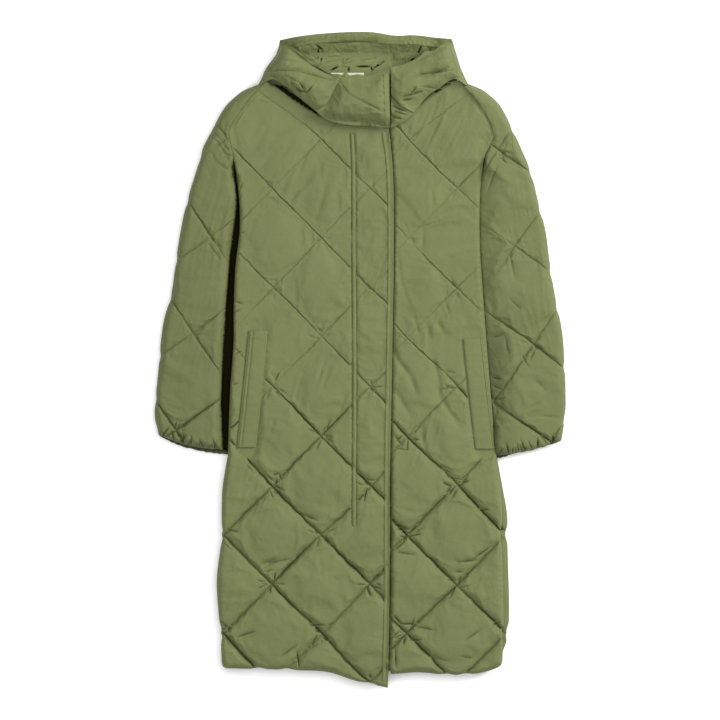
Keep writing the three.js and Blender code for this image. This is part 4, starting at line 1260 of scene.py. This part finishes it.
SLEEVE_RIGHT_FOLDS = metres(
    (-298, 416, -288, 396, 2.5, 2), (-288, 396, -262, 378, 2.5, 2), (-304, 458, -282, 430, 2.5, 2.2),
    (-282, 430, -262, 400, 2.8, 2.2), (-300, 462, -276, 436, 1.8, 2), (-276, 436, -258, 412, 2, 2),
    (-268, 412, -254, 408, 3, 2.5), (-272, 402, -258, 396, 2.5, 2), (-262, 394, -252, 380, 2.8, 2.4),
    (-306, 236, -280, 200, 2.2, 2.4),
)
SLEEVE_LEFT_FOLDS = metres(
    (278, 412, 300, 402, 3.5, 3), (280, 404, 292, 394, 3.5, 2.5), (284, 414, 288, 396, 3, 2.2),
    (292, 416, 306, 408, 2.8, 2.2), (274, 388, 254, 338, 3.4, 3), (300, 392, 340, 374, 2, 2),
    (302, 460, 304, 424, 3, 3), (298, 220, 310, 160, 4, 5), (262, 44, 286, 50, 4, 3.4),
    (264, -36, 282, -38, 4.4, 2.8), (264, -52, 284, -60, 4, 3), (290, 44, 296, 14, 4, 4),
    (324, 10, 336, -14, 3.6, 2.6), (340, 0, 352, 24, 3.6, 2.6), (350, -40, 372, -62, 2.6, 3),
    (330, -100, 364, -84, 2.6, 3), (356, -112, 400, -116, 2.6, 2.6), (300, 120, 322, 100, 3, 3.4),
)


sleeve_right = padded_sleeve(
    "sleeve_right_padded", "sleeve_right", QUILT_SLEEVE_RIGHT, SLEEVE_RIGHT_FOLDS, True, 0.0075, 5
)
finish_piece(sleeve_right, SHELL, ["sleeve_right"])
sleeve_left = padded_sleeve(
    "sleeve_left_padded", "sleeve_left", QUILT_SLEEVE_LEFT, SLEEVE_LEFT_FOLDS, False, 0.0165, 6
)
finish_piece(sleeve_left, SHELL, ["sleeve_left"])

# %% [markdown]
# ## Hood and collar
#
# These pieces have no quilting to speak of. Each takes its form from the frame's piece, smoothed, and gets
# the folds that show: where the hood was pressed flat, where its sides turn back, and round its mouth.

# %% Soft pieces shaped on the frame
PLAIN = Quilting(0.0, 0.55, 20, seed=9)


def soft_piece(name, node, folds, seed, pressure=1.0, spare=0.03, cap=0.004, rows=44, crease=0.0014,
               even=24, slits=(), reach=(), patches=()):
    """A soft piece inside a node's seam line.

    slits are creases painted with deep shade, reach pulls its corners out, and patches are corners of
    places painted with shade.
    """
    line = seam_line(node, SIDE / rows)
    tree = tree_of(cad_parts[node])

    def height(points, u, v):
        gap, rim = to_line(line, points)
        full = drop(tree, points, rim)
        return rim + (full - rim) * quarter_round(gap / 0.010)

    sheet, held = cloth_sheet(name, line, PLAIN, height, rows=rows, quilted=False, folds=[*folds, *slits])
    free = sheet.vertex_groups.new(name="free")
    free.add(np.flatnonzero(held == 0).tolist(), 1.0, "REPLACE")
    only(sheet)
    smoother = sheet.modifiers.new("even", "SMOOTH")
    smoother.factor, smoother.iterations, smoother.vertex_group = 0.6, even, "free"
    bpy.ops.object.modifier_apply(modifier="even")
    sheet.vertex_groups.clear()
    blow_up(sheet, held, pressure, spare, cap)
    refine(sheet, held, 0.0)
    co = places(sheet)
    gap, _ = to_line(line, co)
    co[:, 2] += smoothstep(gap / 0.006) * creases(co, seed, (1.0, 0.35), 0.006, 0.045, crease)
    co[:, 2] += smoothstep(gap / 0.002) * (1.35 * troughs(co, folds) + troughs(co, slits))
    below = lambda points, gap: drop(tree, points, to_line(line, points)[1] - 0.002, down=False)
    inner = gap > 0.0025
    co[inner, 2] = np.maximum(co[inner, 2], below(co[inner], gap) + 0.0005)
    put(sheet, co)
    tops = len(co)
    close_below(sheet, below, 0.015)
    co = places(sheet)
    for x, y, dx, dy, far in reach:
        pull = np.exp(-((np.hypot(co[:, 0] - x, co[:, 1] - y) / far) ** 2))
        co[:, 0] += dx * pull
        co[:, 1] += dy * pull
    put(sheet, co)

    def dark(points):
        out = np.maximum(fold_shade(points, folds, 120.0), fold_shade(points, slits, 450.0, 0.0020) * 2.0)
        for amount, corners in patches:
            out = np.maximum(out, amount * inside(np.array(corners), points))
        return out

    set_shade(sheet, dark, tops)
    return sheet


hood_back = soft_piece("hood_back_padded", "hood_back", (), 11)
co = places(hood_back)
under_lining = drop(tree_of(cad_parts["hood_lining"]), co, 1.0, down=False) - 0.0012
co[:, 2] = np.minimum(co[:, 2], under_lining)
put(hood_back, co)
finish_piece(hood_back, SHELL, ["hood_back"])
SIDE_RIGHT_FOLDS = metres(
    (-180, 578, -120, 577, 3.4, 5), (-125, 577, -55, 558, 3.6, 5), (-152, 630, -104, 592, 3.4, 3),
    (-104, 592, -54, 566, 3.4, 3), (-122, 553, -113, 542, 4, 3), (-128, 540, -108, 533, 5, 3),
    (-106, 533, -96, 546, 4, 3), (-140, 556, -133, 546, 3.6, 3), (-180, 570, -166, 562, 3.6, 3),
    (-190, 590, -176, 580, 3.2, 3), (-160, 612, -100, 600, 1.4, 3), (-166, 600, -110, 590, 1.4, 3),
    (-150, 566, -120, 552, 1.6, 3), (-128, 545, -118, 530, 3, 3), (-118, 548, -110, 536, 3, 3),
    (-108, 530, -80, 540, 2, 4), (-146, 628, -96, 588, 3.2, 1.8), (-96, 588, -46, 564, 3.2, 1.8),
)
hood_side_right = soft_piece(
    "hood_side_right_padded", "hood_side_right", SIDE_RIGHT_FOLDS, 12, even=60,
    reach=metres((-202, 558, -1.5, -6, 14), (-190, 562, 0, -5, 10), (-38, 559, 0, 10, 18)),
)
finish_piece(hood_side_right, SHELL, ["hood_side_right"])
SIDE_LEFT_FOLDS = metres(
    (112, 568, 190, 580, 4, 5), (100, 570, 150, 566, 2, 4), (120, 545, 165, 540, 3, 3),
    (82, 524, 126, 536, 4.5, 4), (84, 518, 104, 520, 4, 3), (100, 530, 112, 544, 3.6, 3),
    (140, 570, 180, 584, 3.2, 4), (176, 560, 200, 568, 3.6, 4), (140, 600, 196, 602, 1.4, 3),
    (120, 612, 180, 628, 1.4, 3), (110, 596, 160, 618, 2, 2.5), (172, 586, 202, 570, 2, 3),
)
hood_side_left = soft_piece(
    "hood_side_left_padded", "hood_side_left", SIDE_LEFT_FOLDS, 13, even=60,
    reach=metres((212, 557, 0, -8, 16), (127, 618, -2, 9, 11), (144, 627, 0, -6, 9), (189, 645, -4, -5, 6)),
    patches=[(0.5, metres((126, 638), (154, 638), (150, 624), (142, 618)))],
)
finish_piece(hood_side_left, SHELL, ["hood_side_left"])
COLLAR_RIGHT_FOLDS = metres(
    (-46, 552, -20, 528, 3, 2.6), (-20, 528, 48, 494, 3, 2.6), (-66, 480, 52, 466, 6, 12),
    (-30, 545, 40, 560, 1.2, 3), (-44, 556, -20, 562, 2.2, 2.2), (0, 562, 46, 578, 2.2, 2.2),
)
collar_right = soft_piece(
    "collar_right_padded", "collar_right", COLLAR_RIGHT_FOLDS, 14, even=40,
    reach=metres((-38, 559, 0, 10, 18), (-6, 560, 0, 10, 18), (-28, 571, 0, 12.5, 4.5)),
)
finish_piece(collar_right, SHELL, ["collar_right"])
COLLAR_LEFT_FOLDS = metres(
    (62, 528, 84, 508, 5, 3.6), (84, 508, 110, 496, 4.6, 3), (64, 508, 92, 496, 4, 3),
    (66, 498, 96, 488, 3.6, 2.6), (62, 486, 84, 480, 3.4, 2.4), (90, 516, 116, 504, 3.6, 2.6),
)
collar_left = soft_piece(
    "collar_left_padded", "collar_left", COLLAR_LEFT_FOLDS, 15, rows=60, crease=0.002
)
finish_piece(collar_left, SHELL, ["collar_left"])
LINING_FOLDS = metres(
    (-56, 630, -32, 606, 4.5, 5), (-38, 590, -32, 606, 4, 4), (-38, 590, -20, 586, 4, 3),
    (-40, 616, -10, 616, 3.6, 4), (-24, 602, -10, 616, 4, 4), (60, 630, 66, 586, 4, 5),
    (84, 586, 86, 630, 4, 5), (-70, 600, -60, 628, 3.6, 5), (-100, 620, -90, 604, 3.6, 4),
    (92, 614, 100, 624, 4, 2.6), (96, 602, 108, 616, 4, 2.6), (102, 628, 112, 618, 3.6, 2.6),
    (0, 600, 30, 604, 3.6, 4), (20, 630, 50, 622, 3, 5),
)
LINING_SLITS = metres(
    (-88, 630, -74, 620, 4, 2.6), (-78, 598, -74, 620, 4, 2.6), (-84, 606, -83, 624, 3, 2.2),
    (-58, 580, -44, 588, 3, 2.4), (-23, 578, -22, 587, 3, 2.4), (-8, 588, 22, 588, 4, 2.6),
    (22, 588, 25, 579, 4, 2.4), (28, 585, 48, 598, 3, 2.2), (94, 592, 114, 610, 4, 3),
    (114, 610, 124, 630, 4, 2.6),
)
LINING_SHADE = (
    (0.28, metres((-44, 626), (-10, 620), (-8, 612), (-30, 596), (-28, 608))),
    (0.30, metres((-120, 624), (-102, 624), (-100, 610), (-112, 612))),
    (0.22, metres((70, 632), (92, 630), (92, 588), (74, 584))),
    (0.55, metres((126, 636), (154, 636), (142, 616))),
)
lining = soft_piece(
    "hood_lining_cloth", "hood_lining", LINING_FOLDS, 16, 0.4, 0.04, crease=0.003, even=10,
    slits=LINING_SLITS, patches=LINING_SHADE,
)
finish_piece(lining, LINING_PAINTED_LIGHTER, ["hood_lining"])

# %% [markdown]
# ## Strips of cloth
#
# Bands and welts are folded strips that lie on a panel and are sewn along their edges. Each is dropped on
# the panel it lies on, so it rises and falls with the padding.

# %% Small rises along a strip


def puckered(middle, seed, height=0.0007, length=0.008):
    """Small random rises along a strip, where its stitching gathers it."""
    return np.array([height * noise.noise(Vector((x / length, y / length, seed))) for x, y, _ in middle])


def lay(node, middle, half, over, flat, seed, thickness, crown, across, sewn):
    middle = smooth_run(middle, 0.003)
    band = strip(
        node + "_cloth", middle, half, tree_of(over), thickness, crown, across,
        ribs=puckered(middle, seed), sewn=sewn,
    )
    finish_piece(band, SHELL, [node])
    return band


COLLAR_EDGE = path([(0.0500, 0.5700), (0.0530, 0.5240), (0.0540, 0.4700)])
# node, middle line, half its width, what it lies on, its flat size, seed, thickness, crown, faces across,
# rows of stitching
BANDS = (
    ("fly_stitch_band", FLY, FLY_HALF - 0.0008, front_right, (0.011, 0.79), 21, 0.0008, 0.0007, 6, ()),
    ("front_edge_band", FRONT_EDGE, 0.0037, front_right, (0.011, 1.10), 22, 0.0012, 0.0010, 6, ()),
    ("pocket_welt_right", WELT_RIGHT, WELT_HALF, front_right, (0.043, 0.232), 23, 0.0040, 0.0010, 12,
     (-0.84, -0.52)),
    ("pocket_welt_left", WELT_LEFT, WELT_HALF, front_left, (0.043, 0.218), 24, 0.0040, 0.0010, 12, (0.80,)),
    ("collar_edge_band", COLLAR_EDGE, 0.0044, collar_right, (0.011, 0.10), 25, 0.0010, 0.0008, 6, ()),
)
bands = {row[0]: lay(*row) for row in BANDS}

# %% [markdown]
# ## The hood's rim, the label and the cuffs
#
# The rim is a casing with elastic in it, so it is drawn up into small ribs, most of them towards the
# wearer's left. The label is blank. A cuff is the end of the sleeve's tube: its upper layer is gathered
# and a little shorter than the lower one, whose inside shows as a thin band, painted with deep shade.

# %% Hood rim


def middle_of(line, spacing):
    """The middle line of a long flat loop, and its half width along the way."""
    low, high = line[:, 0].min(), line[:, 0].max()
    at = np.arange(low + 0.004, high - 0.004, spacing)
    x0, x1 = line[:, 0], np.roll(line[:, 0], -1)
    y0, y1 = line[:, 1], np.roll(line[:, 1], -1)
    rows, halves = [], []
    for x in at:
        crossed = (x0 > x) != (x1 > x)
        y = (y0 + (x - x0) / np.where(x1 == x0, 1, x1 - x0) * (y1 - y0))[crossed]
        rows.append((x, (y.min() + y.max()) / 2, 0.0))
        halves.append((y.max() - y.min()) / 2)
    return np.array(rows), np.array(halves)


RIM_RIBS = 0.0090  # from one rib to the next
rim_line = seam_line("hood_rim", 0.003)
rim_middle, rim_half = middle_of(rim_line, 0.0022)
drawn = 0.00025 + 0.0008 * smoothstep((rim_middle[:, 0] - 0.06) / 0.05)
rim_ribs = drawn * np.cos(2 * np.pi * rim_middle[:, 0] / RIM_RIBS) + puckered(rim_middle, 26)
rim_middle[:, 1] += 0.40 * rim_half
hood_rim = strip(
    "hood_rim_cloth", rim_middle, 0.60 * rim_half, tree_of(lining, hood_back), 0.0016, 0.0008, 10, False,
    ribs=rim_ribs, sewn=(-0.7,), miss=0.030,
)
finish_piece(hood_rim, SHELL, ["hood_rim"])

# %% Label
label_low, label_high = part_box("neck_label")
label_x = (label_low[0] + label_high[0]) / 2 - 0.002
label_y = label_low[1] + 0.0030
label_way = np.array([(label_x + t * 0.033, label_y, 0.0) for t in np.linspace(-1, 1, 34)])
label = strip(
    "neck_label_cloth", label_way, 0.0080, tree_of(lining), 0.0008, 0.0003, 8, False,
    ribs=puckered(label_way, 27, 0.0008, 0.012), miss=0.016,
)
finish_piece(label, LABEL, ["neck_label"])

# %% Cuffs
CUFF_WALL = 0.0018
CUFF_WIDTH = 0.13
CUFF_ROUND, CUFF_ALONG = 168, 9  # points round a cuff, and rows along it
CUFF_INSIDE = 0.0060  # how far it starts inside the sleeve
CUFF_MIDDLE, CUFF_HALF = 0.0105, 0.0100  # height of its middle, and half its thickness


def wrist_of(sleeve):
    """The lower end of a sleeve's outline, from left to right."""
    line = seam_line(sleeve, 0.003)
    end = line[line[:, 1] < WRIST]
    order = end[end[:, 0].argsort()]
    return [(x, order[np.abs(order[:, 0] - x) < 0.006, 1].min()) for x in
            np.linspace(order[0, 0] + 0.002, order[-1, 0] - 0.002, 7)]


def cuff(name, node, wrist, way, short, seed):
    """A gathered cuff from the end of a sleeve, with its lower layer longer than the upper one."""
    wrist = path(wrist_of(wrist), 0.002)
    far = np.linspace(0, 1, len(wrist))
    middle = wrist[:, :2]
    way = Vector(way).normalized()
    points, shade = [], []
    for layer in (0, 1):
        for i in range(CUFF_ALONG + 1):
            t = i / CUFF_ALONG
            for k in range(CUFF_ROUND):
                turn = 2 * np.pi * k / CUFF_ROUND
                c, sn = math.cos(turn), math.sin(turn)
                s = 0.5 + 0.5 * math.copysign(abs(c) ** 0.8, c) * (1 - 0.012 * t)
                x, y = (np.interp(s, far, middle[:, n]) for n in (0, 1))
                upper = max(0.0, sn) ** 0.5
                side = 1 - s if way.x < 0 else s
                longer = 0.0130 * (0.3 + 0.7 * s) if way.x > 0 else 0.0080 * smoothstep(3 * (side - 0.60))
                tuck = noise.noise(Vector((k * 0.55, layer * 0.2, seed)))
                tuck += 0.6 * math.cos(k * 2 * math.pi / 6.4)
                reach = (CUFF_INSIDE + short + longer * (1 - upper) + 0.0009 * tuck) * t - CUFF_INSIDE
                high = CUFF_MIDDLE + CUFF_HALF * math.copysign(abs(sn) ** 0.6, sn) * (1 - 0.3 * t)
                high += 0.0015 * tuck * upper * math.sin(math.pi * min(1, 0.25 + t * 0.75))
                inward = CUFF_WALL * layer
                edge = 1 - 2 * inward / CUFF_WIDTH
                x = x * edge + middle[:, 0].mean() * (1 - edge)
                y = y * edge + middle[:, 1].mean() * (1 - edge)
                high = max(0.0001 + inward, high - inward * math.copysign(1, sn) * min(1, abs(sn) * 3))
                points.append((x + way.x * (0.0004 + reach), y + way.y * (0.0004 + reach), high))
                # painted deep shade: the inside layer is darker towards the sleeve, and the right cuff's
                # outer layer is painted dark at its inner end
                inner_end_shade = float(smoothstep((x + 0.277) / 0.004)) * (way.x > 0)
                shade.append(max(0.45, 1.0 - 0.55 * t + 0.15 * tuck) if layer else inner_end_shade)
    at = lambda layer, i, k: (layer * (CUFF_ALONG + 1) + i) * CUFF_ROUND + k % CUFF_ROUND
    faces = []
    for k in range(CUFF_ROUND):
        for layer in (0, 1):
            for i in range(CUFF_ALONG):
                low = [at(layer, i, k), at(layer, i, k + 1)]
                faces.append(low + [at(layer, i + 1, k + 1), at(layer, i + 1, k)])
        for i in (0, CUFF_ALONG):
            faces.append([at(0, i, k), at(0, i, k + 1), at(1, i, k + 1), at(1, i, k)])
    piece = closed_piece(name, points, faces)
    mark = piece.data.attributes.new("shade", "FLOAT", "POINT")
    mark.data.foreach_set("value", shade)
    bpy.ops.object.shade_smooth_by_angle(angle=math.radians(60))
    finish_piece(piece, SHELL, [node])


cuff("cuff_right_cloth", "cuff_right", "sleeve_right", (0.17, -0.98), 0.0040, 31)
cuff("cuff_left_cloth", "cuff_left", "sleeve_left", (-0.17, -0.98), 0.0130, 32)

# %% [markdown]
# ## Sewing
#
# The quilting is a lockstitch, so what shows of it is a row of short threads. Each is a small spindle of
# thread, dropped on the cloth and tilted with it, and all of one piece's stitches are joined in one mesh.

# %% Stitches
PITCH = 0.0042  # from one stitch to the next
SHORTER = 0.36  # half a stitch's length, against the pitch
THICK, HIGH = 0.0004, 0.0003  # half its width and height
SQUARE = ((1, 0), (0, 1), (-1, 0), (0, -1))
SPINDLE = [(-1, 0, 0), *[(t, a, b) for t in (-0.6, 0.6) for a, b in SQUARE], (1, 0, 0)]
SPINDLE_FACES = [[0, 2, 1], [0, 3, 2], [0, 4, 3], [0, 1, 4], [9, 5, 6], [9, 6, 7], [9, 7, 8], [9, 8, 5],
                 [1, 2, 6, 5], [2, 3, 7, 6], [3, 4, 8, 7], [4, 1, 5, 8]]


def lattice_rows(quilting, line, hidden=lambda points: np.zeros(len(points))):
    """A quilted piece's lines of stitching, as rows of points a pitch apart.

    Where hidden(points) is high, they are left out.
    """
    rows = []
    at = np.arange(-8, 8, PITCH / SIDE)
    for k in range(-8, 9):
        for u, v in ((np.full(len(at), k), at), (at, np.full(len(at), k))):
            x, y = quilting.place(u, v)
            row = quilting.stray(np.stack([x, y, 0 * x], 1))
            keep = inside(line, row)
            if not keep.any():
                continue
            keep[keep] = (to_line(line, row[keep])[0] > 0.005) & (hidden(row[keep]) < 0.1)
            runs = np.split(row, np.flatnonzero(np.diff(keep.astype(int))) + 1)
            shows = lambda run: inside(line, run[1:2])[0] and hidden(run[1:2])[0] < 0.1
            rows += [run for run in runs if len(run) > 2 and shows(run)]
    return rows


def sew(name, rows, over):
    """A joined mesh of stitches along rows of points, lying on a piece."""
    tree = tree_of(over)
    points, faces = [], []
    for row in rows:
        row = row.copy()
        row[:, 2] = drop(tree, row, -1.0)
        for a, b in zip(row, row[1:]):
            if min(a[2], b[2]) < 0 or abs(a[2] - b[2]) > 0.004:
                continue
            way = Vector(b - a)
            side = Vector((-way.y, way.x, 0)).normalized()
            base = Vector((a + b) / 2) + Vector((0, 0, 0.0001))
            faces += [[len(points) + i for i in face] for face in SPINDLE_FACES]
            points += [base + way * SHORTER * t + side * THICK * p + Vector((0, 0, HIGH * q))
                       for t, p, q in SPINDLE]
    finish_piece(closed_piece(name, points, faces), THREAD)


for over, quilting, node, welt in (
    (front_right, QUILT_RIGHT, "front_right", WELT_RIGHT),
    (front_left, QUILT_LEFT, "front_left", WELT_LEFT),
):
    near_welt = lambda points: under_welt(points, welt)
    sew(node + "_stitches", lattice_rows(quilting, seam_line(node, STEP), near_welt), over)
past = lambda points: 1.0 * (past_fold(points) > -0.004)
rows = lattice_rows(QUILT_SLEEVE_RIGHT, seam_line("sleeve_right", STEP), past)
sew("sleeve_right_stitches", rows, sleeve_right)
sew("sleeve_left_stitches", lattice_rows(QUILT_SLEEVE_LEFT, seam_line("sleeve_left", STEP)), sleeve_left)
even_row = lambda line: smooth_run(line, PITCH)
rows = [even_row(beside(FRONT_EDGE, k)) for k in (-0.0026, 0.0026)]
sew("front_edge_stitches", rows, bands["front_edge_band"])
sew("fly_stitches", [even_row(beside(FLY, k)) for k in (-0.0042, 0.0042)], front_right)
for welt, side in ((WELT_RIGHT, "right"), (WELT_LEFT, "left")):
    rows = [even_row(beside(welt, k * WELT_HALF)) for k in (-0.84, 0.84)]
    sew("welt_" + side + "_stitches", rows, bands["pocket_welt_" + side])
